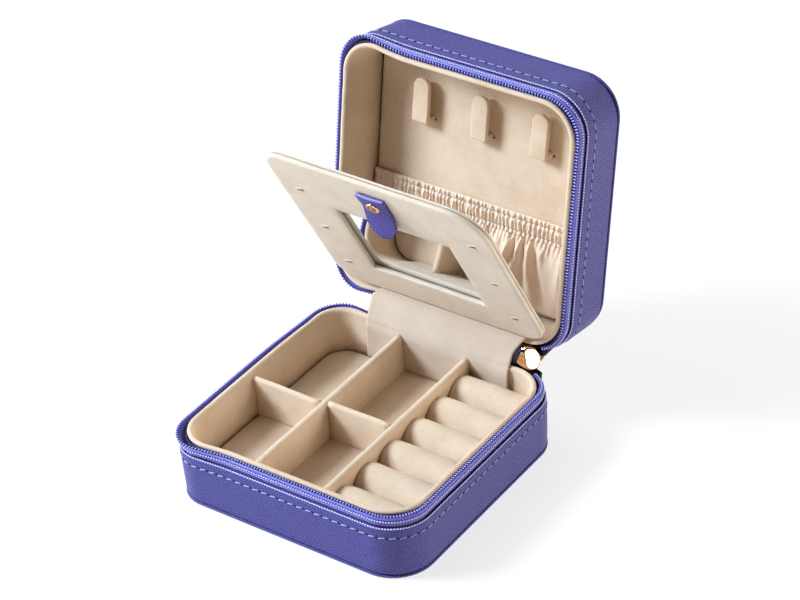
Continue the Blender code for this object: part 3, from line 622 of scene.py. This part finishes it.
def lining(half, floor, pad_node):
    """The velvet wall with its padded lip, and the padded floor."""
    profile = [(0.0, floor - 0.6), (0.0, 14.0), (0.0, 20.0), (0.0, 23.6), (-0.06, 24.6), (-0.02, 25.3),
               (0.22, 25.85), (0.65, 26.16), (1.15, 26.2), (1.6, 26.02), (1.88, 25.6), (1.92, 25.0), (1.7, 24.75),
               (0.95, 24.7), (0.9, 14.0), (0.9, floor - 0.6)]
    sweep(f"{half}_lining", profile, VELVET, half, INNER, soft=0.12, nodes=[f"{half}_liner"],
          lean=inner_flare(half))
    pad = [(-1.0, floor - 2.5), (-0.05, floor - 1.2), (-0.1, floor - 0.4), (-0.5, floor - 0.1), (-1.4, floor),
           (-4.0, floor + 0.02), (-7.5, floor + 0.04)]
    ring_solid(f"{half}_pad", case_outline((INNER_HALF - 0.1, LINER_CORNER), 180), pad, VELVET, half,
                         nodes=[pad_node])


for half, floor, stitch_z, end_node, pad_node in (
        ("base", BASE_FLOOR, 17.4, "base_bottom_leather", "base_floor_pad"),
        ("lid", LID_FLOOR, 16.6, "lid_top_leather", "lid_ceiling_pad")):
    leather_band(half, stitch_z)
    end_leather(half, end_node)
    board(half)
    zip_half(half)
    lining(half, floor, pad_node)


# -------- tray --------
def divider(node_name, x0, x1, y0, y1):
    """A board wrapped in velvet, with a rounded top; it runs along its longer side."""
    along_y = (y1 - y0) > (x1 - x0)
    half = min(x1 - x0, y1 - y0) / 2
    length = max(x1 - x0, y1 - y0)
    low, top = BASE_FLOOR - 0.3, 24.1
    section = [(-half - 0.25, low), (-half - 0.03, low + 1.2), (-half, 14.0), (-half, top - half)]
    section += arc(0, top - half, half, 165, 15, 10)
    section += [(half, top - half), (half, 14.0), (half + 0.03, low + 1.2), (half + 0.25, low)]
    steps = max(int(length / 2.5), 2)
    x, y = (x0 + x1) / 2, (y0 + y1) / 2
    rows = []
    for step in range(steps + 1):
        along = -length / 2 + length * step / steps
        row = []
        for across, z in section:
            point = (x + across, y + along, z) if along_y else (x + along, y + across, z)
            move = wobble(point, 11.0, 0.16, 3.0)
            row.append((point[0] + (move if along_y else 0), point[1] + (0 if along_y else move), z + move * 0.5))
        rows.append(row)
    surface(f"{node_name}_wrapped", rows, VELVET, "base", nodes=[node_name], wrap_v=True, caps=True)


def cad_rect(node_name):
    low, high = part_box(node_name)
    return low.x / MM, high.x / MM, low.y / MM, high.y / MM


for node_name, (grow_x, grow_y) in (("divider_left", (0, 0.35)), ("divider_right", (0, 0.35)),
                                    ("cross_divider_left", (0.35, 0)), ("cross_divider_middle", (0.35, 0))):
    x0, x1, y0, y1 = cad_rect(node_name)
    past_wall = 1.7 if x0 < -44 else 0.0     # up to the base's leaning left wall
    divider(node_name, x0 - grow_x - past_wall, x1 + grow_x, y0 - grow_y, y1 + grow_y)


def ring_roll(number):
    """A foam roll in a velvet cover: round, flat underneath, with its ends tucked in."""
    x0, x1, y0, y1 = cad_rect(f"ring_roll_{number}")
    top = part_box(f"ring_roll_{number}")[1].z / MM
    radius = (y1 - y0) / 2 + 0.12
    centre_y, centre_z = (y0 + y1) / 2, top - radius + 0.12
    corner = LINER_CORNER * 0.92
    limit = INNER_HALF - corner
    steps = 36
    rows = []
    for step in range(steps + 1):
        part = step / steps
        near_end = min(part, 1 - part) * (x1 - x0)
        tuck = 1.0 - 0.07 * max(1 - near_end / 1.4, 0.0) ** 2
        plump = 1.0 + 0.01 * math.sin(math.pi * part)
        row = []
        for c, s in circle(56):
            y = centre_y + radius * tuck * plump * c
            z = max(centre_z + radius * tuck * plump * s, BASE_FLOOR + 0.1)
            reach = max(abs(y) - limit, 0.0)
            end = min(x1 + 0.2, limit + math.sqrt(max(corner ** 2 - reach ** 2, 0.0)) - 0.1)
            x = x0 - 0.2 + (end - x0 + 0.2) * part
            move = wobble((x, y, z), 8.0, 0.16, number * 5.0)
            row.append((x, y + move * c, z + move * s))
        rows.append(row)
    surface(f"roll_{number}", rows, VELVET, "base", nodes=[f"ring_roll_{number}"], wrap_v=True,
                      caps=True)


for number in range(1, 7):
    ring_roll(number)


# -------- cloth and leather that cross a joint --------
def smooth_run(points, steps):
    """A smooth curve through points, as evenly spread as their own spacing allows."""
    points = [np.array(point, float) for point in points]
    run = []
    padded = [2 * points[0] - points[1]] + points + [2 * points[-1] - points[-2]]
    for a, b, c, d in zip(padded, padded[1:], padded[2:], padded[3:]):
        for k in range(steps):
            t = k / steps
            run.append(tuple(0.5 * (2 * b + (c - a) * t + (2 * a - 5 * b + 4 * c - d) * t ** 2
                                    + (3 * b - a - 3 * c + d) * t ** 3)))
    run.append(tuple(points[-1]))
    return run


def thicken(piece, thickness):
    solid = piece.modifiers.new("Thickness", "SOLIDIFY")
    solid.thickness = thickness * MM
    solid.offset = 0


def strip(name, run, x0, x1, columns, thickness, material, nodes, shape=lambda u, v: (0, 0, 0)):
    """A band of cloth whose side view is the run of (y, z) points; shape(u, v) moves its points."""
    walked = lengths(run)
    us = [x0 + (x1 - x0) * (column / columns) for column in range(columns + 1)]
    rows = []
    for column, x in enumerate(us):
        row = []
        for (y, z), distance in zip(run, walked):
            dx, dy, dz = shape(column / columns, distance / walked[-1])
            row.append((x + dx, y + dy, z + dz))
        rows.append(row)
    piece = surface(name, rows, material, None, PLACES["base"], nodes, us, walked)
    thicken(piece, thickness)
    return piece


def at(place, y, z):
    point = place @ Vector((0, y, z))
    return point.y, point.z


def flap():
    """Plain cloth from the foot of the tray's back wall up to the mirror panel's lower edge."""
    crease = at(PANEL, 44.9, 24.75)
    foot = [(44.55, 8.7), (44.5, 14.0), (44.35, 19.0), (44.4, 22.6), (45.2, 25.6), (47.2, 29.4)]
    run = smooth_run(foot + [(crease[0] - 0.7, crease[1] - 2.2), crease], 5)

    def drape(u, v):
        rounded = 3.4 * max(0.06 - u, 0.0) / 0.06 * max(v - 0.88, 0.0) / 0.12
        spread = 4.2 * u ** 6 * max(v - 0.72, 0.0) ** 1.5 / 0.148
        wave = 0.35 * math.sin(9.0 * u + 1.0) * math.sin(math.pi * v) + 0.22 * math.sin(23.0 * u) * v * (1 - v) * 4
        crease_line = 0.55 * math.exp(-((v - 0.52 - 0.05 * u) / 0.022) ** 2) * (0.55 + 0.45 * math.sin(5 * u + 2))
        return rounded + spread, (wave + crease_line) * 0.5 - 0.15, 0.0

    piece = strip("flap", run, -31.0, 31.0, 70, 0.5, FLAP_CLOTH, ["flap_gusset"], drape)
    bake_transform(piece)


def spine():
    """The leather that joins the two halves' bands across the hinge, seen from behind."""
    lower = [(49.75, 15.0), (49.9, 19.0), (50.6, 22.6), (51.7, 25.8)]
    upper = [at(LID, -y, z) for y, z in reversed(lower)]
    run = smooth_run(lower + [(HINGE_Y + 0.35, HINGE_Z)] + upper, 5)
    piece = strip("spine", run, -27.5, 25.0, 40, 0.7, LEATHER, ["base_spine_leather", "lid_spine_leather"])
    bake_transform(piece)


def between_wings(x, hinge_y, height):
    """The tapes' ends are pushed outwards where they pass between the slider's wings."""
    return 1.3 * ease((x - 34.5) / 5.5) * (1 - ease((x - 41.5) / 1.4)) * ease((height - 19.5) / 2)


def tape_ends():
    """Each half's zip tape runs on past its teeth, along the hinge side behind the slider, coloured much darker than
    the tape as painted shade.
    """
    profile = [(-0.55, 12.0), (-0.55, 20.6), (-0.55, 24.9), (-0.35, 25.2), (-0.15, 24.9), (-0.15, 20.6),
               (-0.15, 12.0)]
    for half in ("base", "lid"):
        sweep(f"{half}_tape_end", profile, TAPE_PAINTED_SHADE, half, span=(23.0, zip_span()[0] + 2.2), spacing=0.8,
              lean=between_wings)


flap()
spine()
tape_ends()


# -------- lid fittings --------
def hooks():
    """Three hooks, each a velvet tongue that stands off the ceiling on a root, with a slit beside it."""
    low, half, back, front, bend = LID_FLOOR + 2.8, 3.4, 34.6, 17.5, 0.7
    profile = [(-0.6, low), (-0.4, low), (-0.14, low + 0.14), (0.0, low + 0.5), (0.0, low + 1.35),
               (-0.14, low + 1.68), (-0.4, low + 1.84), (-0.6, low + 1.88)]
    root_profile = [(0.6, LID_FLOOR), (0.15, LID_FLOOR + 0.5), (0.05, low + 0.9), (-0.2, low + 1.3)]
    slit_profile = [(0.0, LID_FLOOR - 0.2), (0.0, LID_FLOOR + 0.2), (-0.1, LID_FLOOR + 0.26)]
    for number, x in enumerate((-25.0, 0.0, 25.0), start=1):
        outline = arc(x, back - half, half, 0, 180, 20)
        outline += [(x - half, y) for y in (28.0, 25.0, 22.0)] + arc(x - half + bend, front + bend, bend, 180, 270, 4)
        outline += arc(x + half - bend, front + bend, bend, 270, 360, 4) + [(x + half, y) for y in (22.0, 25.0, 28.0)]
        ring_solid(f"hook_{number}", outline, profile, VELVET, "lid", None, 0.1, [f"necklace_hook_{number}"])
        ring_solid(f"hook_root_{number}", rounded_box(x - 3.3, x + 3.3, 17.3, 19.6, 0.5), root_profile, VELVET,
                   "lid")
        ring_solid(f"hook_slit_{number}", rounded_box(x + 3.75, x + 4.65, 18.0, 18.7, 0.33), slit_profile, SLIT,
                   "lid")


hooks()

POCKET_FOOT, WAIST, POCKET_TOP, POCKET_HALF = -43.7, -15.2, -7.0, 44.75
SEAM_ROWS = (-9.3, -14.0)
rng = random.Random(11)
pleats = []                                  # of the elastic: place, width, size, lean
spot = -POCKET_HALF + 0.9
while spot < POCKET_HALF - 0.6:
    pleats.append((spot, rng.uniform(0.55, 0.85), rng.uniform(0.7, 1.15), rng.uniform(-0.05, 0.05)))
    spot += rng.uniform(1.3, 2.0)
folds = []                                   # of the pouch: place, width, size, slope, reach, growth
for spot, width, size, lean in pleats:
    long = rng.random() < 0.24
    folds.append((spot, width * 1.15, size * (rng.uniform(2.2, 3.6) if long else rng.uniform(0.6, 1.2)),
                  rng.uniform(-0.22, 0.22), rng.uniform(15, 34) if long else rng.uniform(3.0, 8.0),
                  rng.uniform(0.06, 0.16) if long else 0.09))


def gather(x, y):
    """How far the elastic band's ruffles stand out."""
    height = 0.0
    for spot, width, size, lean in pleats:
        t = (x - spot - lean * (y - WAIST) * 2 - 0.12 * math.sin(y * 1.3 + spot)) / (width * 0.78)
        if abs(t) < 3:
            height += size * (math.exp(-t * t) - 0.35 * math.exp(-((abs(t) - 1.35) ** 2) * 3))
    return height


def hanging(x, y):
    """How far the pouch's folds stand out below the band; they fan out and die away downwards."""
    down = WAIST - y
    height = 0.0
    for spot, width, size, slope, reach, growth in folds:
        t = (x - spot - slope * down) / (width + growth * down)
        if abs(t) < 3:
            fade = math.exp(-(down / reach) ** 2)
            height += size * fade * (math.exp(-t * t) - 0.55 * math.exp(-((t - 1.25) ** 2) * 1.8))
    return height


def pocket_side(y):
    """Half the pouch's width, which follows the liner's corners at its foot."""
    reach = max(-(INNER_HALF - LINER_CORNER) - y, 0.0)
    return POCKET_HALF - (LINER_CORNER - math.sqrt(max(LINER_CORNER ** 2 - reach ** 2, 0.0)))


def pouch():
    foot = LID_FLOOR + 0.45
    columns, steps = 420, 74
    rows = []
    for column in range(columns + 1):
        across = -1 + 2 * column / columns
        edges = 1 - abs(across) ** 8
        row = []
        for step in range(steps + 1):
            part = step / steps
            y = WAIST + (POCKET_FOOT - WAIST) * part
            x = across * pocket_side(y)
            swell = (0.75 + 0.25 * math.cos(2.2 * across)) * 3.6 * math.sin(math.pi * part ** 0.8) ** 0.8
            blend = min(part * 6, 1.0)
            near = gather(x, y) * 0.62 * (1 - blend)
            far = hanging(x, y) * (0.35 + 0.65 * blend) * min((1 - part) * 5, 1.0)
            z = foot + (1.3 * (1 - part) + swell + near + far) * edges + 0.35 * (1 - edges)
            row.append((x, y, max(z, foot - 0.2)))
        rows.append(row)
    piece = surface("pouch", rows, POCKET_CLOTH, "lid", nodes=["pocket_pouch"])


def elastic():
    columns, steps = 840, 29
    rows = []
    for column in range(columns + 1):
        x = -POCKET_HALF + 2 * POCKET_HALF * column / columns
        row = [(x, POCKET_TOP - 2.6, LID_FLOOR + 0.4), (x, POCKET_TOP - 0.1, LID_FLOOR + 0.5),
               (x, POCKET_TOP + 0.05, LID_FLOOR + 1.1)]
        for step in range(steps + 1):
            y = POCKET_TOP - 0.15 + (WAIST - 0.1 - POCKET_TOP + 0.15) * step / steps
            seams = sum(math.exp(-((y - row_y) / 0.45) ** 2) for row_y in SEAM_ROWS)
            top = min((POCKET_TOP - y) / 1.2 + 0.35, 1.0)
            ruffle = gather(x, y) * (0.62 - 0.3 * seams) * top
            row.append((x, y, LID_FLOOR + 1.75 + ruffle - 0.4 * seams))
        rows.append(row)
    piece = surface("elastic", rows, POCKET_CLOTH, "lid", nodes=["pocket_elastic"])

    stitches = []
    for row_y in SEAM_ROWS:
        for spot, width, size, lean in pleats:
            x = spot + 0.12 * math.sin(row_y * 1.3 + spot)
            z = LID_FLOOR + 1.75 + gather(x, row_y) * 0.32 - 0.4 + 0.2
            if abs(x) < POCKET_HALF - 0.6:
                stitches.append(axes((x, row_y, z), (1, rng.uniform(-0.15, 0.15), 0), (0, 0, 1)))
    stamp("elastic_stitches", capsule(1.25, 0.22, 6, 2), stitches, WHITE_THREAD, "lid")


pouch()
elastic()

# -------- mirror panel --------
PANEL_BACK, PANEL_FRONT, PANEL_HALF = 44.4, -43.5, 44.7
PANEL_BENDS = ((8.0, 10.0), (14.5, 10.8))     # left front and back, right front and back
FRONT_Z, FRAME_BACK_Z, BACK_Z = 24.3, 25.9, 27.1
WINDOW = (-23.8, 23.8, PANEL_BACK - 59.4, PANEL_BACK - 17.4)
CENTRE = (0.0, (WINDOW[2] + WINDOW[3]) / 2)


def reach_box(angle, x0, x1, y0, y1, bends):
    """How far a ray from the window's middle goes to a rectangle with round corners."""
    dx, dy = math.cos(angle), math.sin(angle)
    low, high = 0.0, 200.0
    for _ in range(40):
        middle = (low + high) / 2
        x, y = CENTRE[0] + dx * middle, CENTRE[1] + dy * middle
        radius = bends[x > (x0 + x1) / 2][y > (y0 + y1) / 2]
        cx = min(max(x, x0 + radius), x1 - radius)
        cy = min(max(y, y0 + radius), y1 - radius)
        inside = math.hypot(x - cx, y - cy) <= radius + 1e-9
        low, high = (middle, high) if inside else (low, middle)
    return low


def panel_angles():
    """Even steps round the window's middle, with one exactly at each of the window's corners."""
    angles = [2 * math.pi * k / 240 for k in range(240)]
    for x in WINDOW[:2]:
        for y in WINDOW[2:]:
            exact = math.atan2(y - CENTRE[1], x - CENTRE[0]) % (2 * math.pi)
            angles = [a for a in angles if abs(a - exact) > 0.012] + [exact]
    return sorted(angles)


def panel_ring(name, inner, profile, closed, nodes):
    """A flat ring between a window and the panel's outline; profile is (share outwards, step in mm, height)."""
    sharp = ((0.001, 0.001), (0.001, 0.001))
    rows = []
    for angle in panel_angles():
        near = reach_box(angle, *inner, sharp)
        far = reach_box(angle, -PANEL_HALF, PANEL_HALF, PANEL_FRONT, PANEL_BACK, PANEL_BENDS)
        row = []
        for share, step, height in profile:
            out = near + (far - near) * share + step
            x, y = CENTRE[0] + math.cos(angle) * out, CENTRE[1] + math.sin(angle) * out
            row.append((x, y, height + wobble((x, y, height), 10.0, 0.12, 9.0)))
        rows.append(row)
    surface(name, rows, PANEL_VELVET, "panel", nodes=nodes, wrap_u=True, wrap_v=closed,
                      caps=not closed)


def mirror_panel():
    f, b = FRONT_Z, FRAME_BACK_Z
    profile = [(0, 0.0, b), (0, 0.0, f + 0.4), (0, 0.1, f + 0.1), (0, 0.35, f), (0.15, 0, f - 0.02),
               (0.5, 0, f - 0.04), (0.85, 0, f - 0.02), (1, -1.6, f), (1, -1.1, f + 0.03), (1, -0.5, f + 0.16),
               (1, -0.12, f + 0.42), (1, 0.0, f + 0.75), (1, 0.0, b - 0.4), (1, -0.25, b - 0.1), (1, -0.9, b)]
    panel_ring("mirror_front", WINDOW, profile, True, ["mirror_frame"])
    recess = (WINDOW[0] - 3.3, WINDOW[1] + 3.3, WINDOW[2] - 3.3, WINDOW[3] + 3.3)
    b += 0.2
    profile = [(0, 0.0, b + 0.8), (0, 0.0, b + 0.02), (0.4, 0, b), (1, -1.0, b), (1, -0.35, b + 0.08),
               (1, 0.0, b + 0.3), (1, 0.08, b + 0.55), (1, -0.1, BACK_Z - 0.2), (1, -0.6, BACK_Z),
               (0.5, 0, BACK_Z), (0, 0.0, BACK_Z)]
    panel_ring("mirror_back", recess, profile, False, ["mirror_backing"])
    dress("mirror_glass", MIRROR)

    slits, lips = [], []
    for distance in (15.1, 40.4, 66.8):
        for x in (-35.7, 35.7):
            y = PANEL_BACK - distance
            slits.append(axes((x, y, FRONT_Z - 0.02), (1, -0.1, 0), (0, 0, 1)))
            for across in (-0.72, 0.72):
                lips.append(axes((x, y + across, FRONT_Z + 0.08), (1, -0.1 + across * 0.3, 0), (0, 0, 1)))
    stamp("earring_slits", capsule(2.9, 0.5, 8, 4, (1, 1, 0.5)), slits, SLIT, "panel")
    stamp("slit_lips", capsule(4.0, 0.42, 10, 4, (1, 1, 0.7)), lips, PANEL_VELVET, "panel")


def pull_tab():
    """One strip of leather: flat under the rivet, then hanging away from the mirror."""
    top, end, half = PANEL_BACK - 81.5, PANEL_BACK - 60.7, 5.9
    steps, columns = 54, 24
    rows = []
    for column in range(columns + 1):
        across = -1 + 2 * column / columns
        row = []
        for step in range(steps + 1):
            part = step / steps
            y = top + (end - top) * part
            room = end - y
            width = half if room > half else math.sqrt(max(half ** 2 - (half - room) ** 2, 0.0))
            width -= (0.5 - 0.42 * across) * math.exp(-((part - 0.28) / 0.17) ** 2)
            lift = 3.3 * max((part - 0.42) / 0.58, 0.0) ** 1.7
            crown = 0.25 * (1 - across ** 2)
            row.append((across * width, y, FRONT_Z - 0.95 - lift - crown))
        rows.append(row)
    tab = surface("pull_tab", rows, LEATHER_TAB, None, PANEL, ["pull_tab_root", "pull_tab_tongue"],
                  [column * 2 * half / columns for column in range(columns + 1)],
                  [step * (end - top) / steps for step in range(steps + 1)])
    thicken(tab, 1.15)
    soft = tab.modifiers.new("Edge", "BEVEL")
    soft.width = 0.28 * MM
    soft.segments = 2
    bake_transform(tab)
    # the tab's folded top edge, a tube coloured lighter as a painted highlight
    edge = [(-half + 0.3, top + 0.1, FRONT_Z - 1.0), (0, top + 0.1, FRONT_Z - 1.25),
            (half - 0.3, top + 0.1, FRONT_Z - 1.0)]
    tube("tab_fold", smooth_run(edge, 8), 0.55, LEATHER_EDGE_HIGHLIGHT, "panel")


def rivet():
    f = FRONT_Z
    profile = [(0.02, f - 2.35), (0.9, f - 2.33), (1.6, f - 2.22), (2.05, f - 2.42), (2.4, f - 2.4),
               (2.68, f - 2.12), (2.7, f - 1.8), (2.4, f - 1.55), (0.9, f - 1.5), (0.9, FRAME_BACK_Z)]
    rows = [[(radius * c, radius * s, z) for radius, z in profile] for c, s in circle(40)]
    surface("rivet", rows, GOLD, "panel", PANEL @ shift(0, PANEL_BACK - 76.3, 0), ["tab_rivet"], wrap_u=True,
            caps=True)


mirror_panel()
pull_tab()
rivet()


# -------- slider and puller --------
def slider():
    """Two teardrop wings on a post, the ribbon wrapped over the inner one and coloured near black as painted shade,
    and the puller's bridge.
    """
    low, high = 27.2, 41.4
    middle_y, middle_z = 50.4, RIM_Z + 0.15
    nose, waist = 4.35, 2.9
    length = high - low
    place = PLACES["slider"] @ shift(low, middle_y, middle_z) @ turn(90)

    def width(x):
        if x > length - nose:
            return math.sqrt(max(nose ** 2 - (x - length + nose) ** 2, 0.0))
        body = waist + (nose - waist) * ease(x / (length - nose) * 1.25 - 0.25)
        return body * math.sqrt(max(1 - (1 - min(x / 1.2, 1.0)) ** 4, 0.0))

    xs = [length / 2 * (1 - math.cos(math.pi * k / 40)) for k in range(41)]
    outline = [(x, -width(x)) for x in xs] + [(x, width(x)) for x in xs[-2:0:-1]]
    for name, sign, nodes in (("slider_inner_wing", 1, ["zip_slider"]), ("slider_outer_wing", -1, [])):
        rows = []
        for x, y in outline:
            row = [(x * 0.9 + length * 0.05, y * 0.85, sign * 1.1), (x, y, sign * 1.15), (x, y, sign * 1.35)]
            for turned_in in range(1, 19):
                share = 1.0 - (turned_in / 18.6) ** 1.3
                px, py = length * 0.56 + (x - length * 0.56) * share, y * share
                rise = min(1.35 + 1.5 * math.sqrt(1 - share ** 5), 2.85 - 0.1 * share ** 2)
                slope = 2.75 - 0.33 * (px - length * 0.64 + 0.1 * py * py / nose) - 0.11 * py
                rise = 0.5 * (rise + slope - math.sqrt((rise - slope) ** 2 + 0.01)) if sign > 0 else 0.75 * rise
                row.append((px, py, sign * rise))
            rows.append(row if sign > 0 else [(px * 0.84, py * 0.9, pz) for px, py, pz in row])
        surface(name, rows, GOLD, "slider", place, nodes, wrap_u=True, caps=True)
    post = rounded_box(length - 5.2, length - 2.4, -0.9, 0.9, 0.7, 6)
    ring_solid("slider_post", post, [(0, -1.2), (0, 1.2)], GOLD, "slider", place)

    # the ribbon, coloured near black as painted shade
    ribbon = []
    for step in range(25):
        down = -1 + 2 * step / 24
        rise = 1.35 + 1.62 * math.sqrt(max(1 - (down * 0.93) ** 2, 0.0))
        middle = 4.6 - 1.0 * down
        ribbon.append([(middle + across * 1.5, -down * 3.75, rise - 0.12 + lift) for across, lift in
                       ((-1, -0.1), (-1, 0.22), (-0.4, 0.3), (0.4, 0.3), (1, 0.22), (1, -0.1))])
    surface("slider_ribbon", ribbon, TAPE_PAINTED_SHADE, "slider", place, wrap_v=True, caps=True)

    foot, top = middle_y + 1.7, middle_y + 1.8 + 2.4
    run = smooth_run([(x, y, middle_z) for x, y in
                      ((30.6, foot), (30.9, top - 0.7), (32.4, top), (35.4, top + 0.1), (38.2, top),
                       (39.7, top - 0.7), (40.0, foot))], 6)
    tube("slider_bridge", run, 0.6, GOLD, "slider", around=12, nodes=["zip_slider_bridge"])


def puller():
    """The wire link on the bridge, and the long tag that hangs from it, a little askew."""
    place = shift(*Vector(joints["puller_swing"]["pos_m"]) / MM) @ turn(12, "Y")
    loop = [(0, y, z) for y, z in arc(0, 0.0, 1.3, 0, 180, 12) + arc(0, -3.1, 1.3, 180, 360, 12)]
    tube("link", loop, 0.42, GOLD, "puller", place, cyclic=True, nodes=["puller_link"])

    foot, end, half, neck = -4.4, -18.9, 2.3, 1.7

    def inside(x, y):
        if y > foot:
            return math.hypot(x, y - foot) <= neck
        wide = neck + (half - neck) * min(max((foot - y) / 9.0, 0.0), 1.0)
        return abs(x) <= wide if y > end else math.hypot(x, y - end) <= half

    rows = []
    for dx, dy in circle(64):
        reach = 0.0
        while reach < 30 and inside(dx * reach, foot + dy * reach):
            reach += 0.03
        rows.append([(dx * r, foot + dy * r, z) for r, z in
                     ((0.75, -0.3), (0.95, -0.5), (reach - 0.25, -0.5), (reach, -0.25), (reach, 0.25),
                      (reach - 0.25, 0.5), (0.95, 0.5), (0.75, 0.3))])
    surface("tag", rows, GOLD, "puller", place @ turn(90), ["puller_tag"], wrap_u=True, wrap_v=True)


slider()
puller()


# -------- floor, light, camera --------
def floor():
    size, below = 6.0, -0.0003
    mesh = bpy.data.meshes.new("floor")
    mesh.from_pydata([(-size, -size, 0), (size, -size, 0), (size, size, 0), (-size, size, 0)], [], [(0, 1, 2, 3)])
    mesh.materials.append(Finish("floor_white", (0.26, 0.26, 0.26), 0.9, Emission_Strength=0.74,
                                 Emission_Color=(1.0, 1.0, 1.0, 1.0)).material)
    piece = in_scene("floor", mesh)
    piece.location.z = below


def area_light(name, direction, distance, size, power, target=(0, 15, 45), colour=(1, 1, 1)):
    """A round soft light that faces its target; distance, size and target are in mm."""
    data = bpy.data.lights.new(name, "AREA")
    data.shape = "DISK"
    data.size = size * MM
    data.energy = power
    data.color = colour
    lamp = in_scene(name, data)
    away = Vector(direction).normalized()
    lamp.location = (Vector(target) + away * distance) * MM
    lamp.rotation_mode = "QUATERNION"
    lamp.rotation_quaternion = away.to_track_quat("Z", "Y")


def studio():
    cool, warm = (0.91, 1.045, 1.21), (1.06, 0.98, 0.88)
    area_light("key", (-1.2, -0.82, 1.15), 1100, 430, 16.8, colour=cool)
    area_light("low_key", (-1.4, -0.85, 0.25), 1100, 350, 2.4, colour=cool)
    area_light("high", (-0.9, -0.5, 1.9), 1100, 500, 1.2, colour=cool)
    area_light("card", (0.155, -0.979, 0.128), 1000, 320, 0.9, (36, 48, 30))
    area_light("side", (1.0, 0.5, 0.3), 1200, 800, 9.8, colour=warm)
    area_light("back", (-0.3, 0.85, 0.75), 1300, 900, 8.0)
    world = bpy.data.worlds.new("studio")
    world.use_nodes = True
    background = world.node_tree.nodes["Background"]
    background.inputs["Color"].default_value = (1.0, 0.82, 0.66, 1.0)
    background.inputs["Strength"].default_value = 0.02
    bpy.context.scene.world = world
    bpy.context.scene.view_settings.view_transform = "Standard"


CAMERA_TURN, CAMERA_RISE, CAMERA_ROLL = 35.839, 34.647, -3.009     # degrees
CAMERA_AT = (0.4868, -0.6504, 0.6319)                              # metres
CAMERA_LENS, CAMERA_SENSOR = 129.42, 36.0


def camera():
    azimuth, elevation, roll = (math.radians(angle) for angle in (CAMERA_TURN, CAMERA_RISE, CAMERA_ROLL))
    back = Vector((math.sin(azimuth) * math.cos(elevation), -math.cos(azimuth) * math.cos(elevation),
                   math.sin(elevation)))
    right = Vector((math.cos(azimuth), math.sin(azimuth), 0))
    up = back.cross(right)
    level_right = math.cos(roll) * right + math.sin(roll) * up
    level_up = -math.sin(roll) * right + math.cos(roll) * up
    data = bpy.data.cameras.new("camera")
    data.sensor_width = CAMERA_SENSOR
    data.lens = CAMERA_LENS
    data.clip_end = 100
    eye = in_scene("camera", data)
    eye.matrix_world = Matrix.Translation(CAMERA_AT) @ Matrix((level_right, level_up, back)).transposed().to_4x4()
    bpy.context.scene.camera = eye


floor()
studio()
camera()
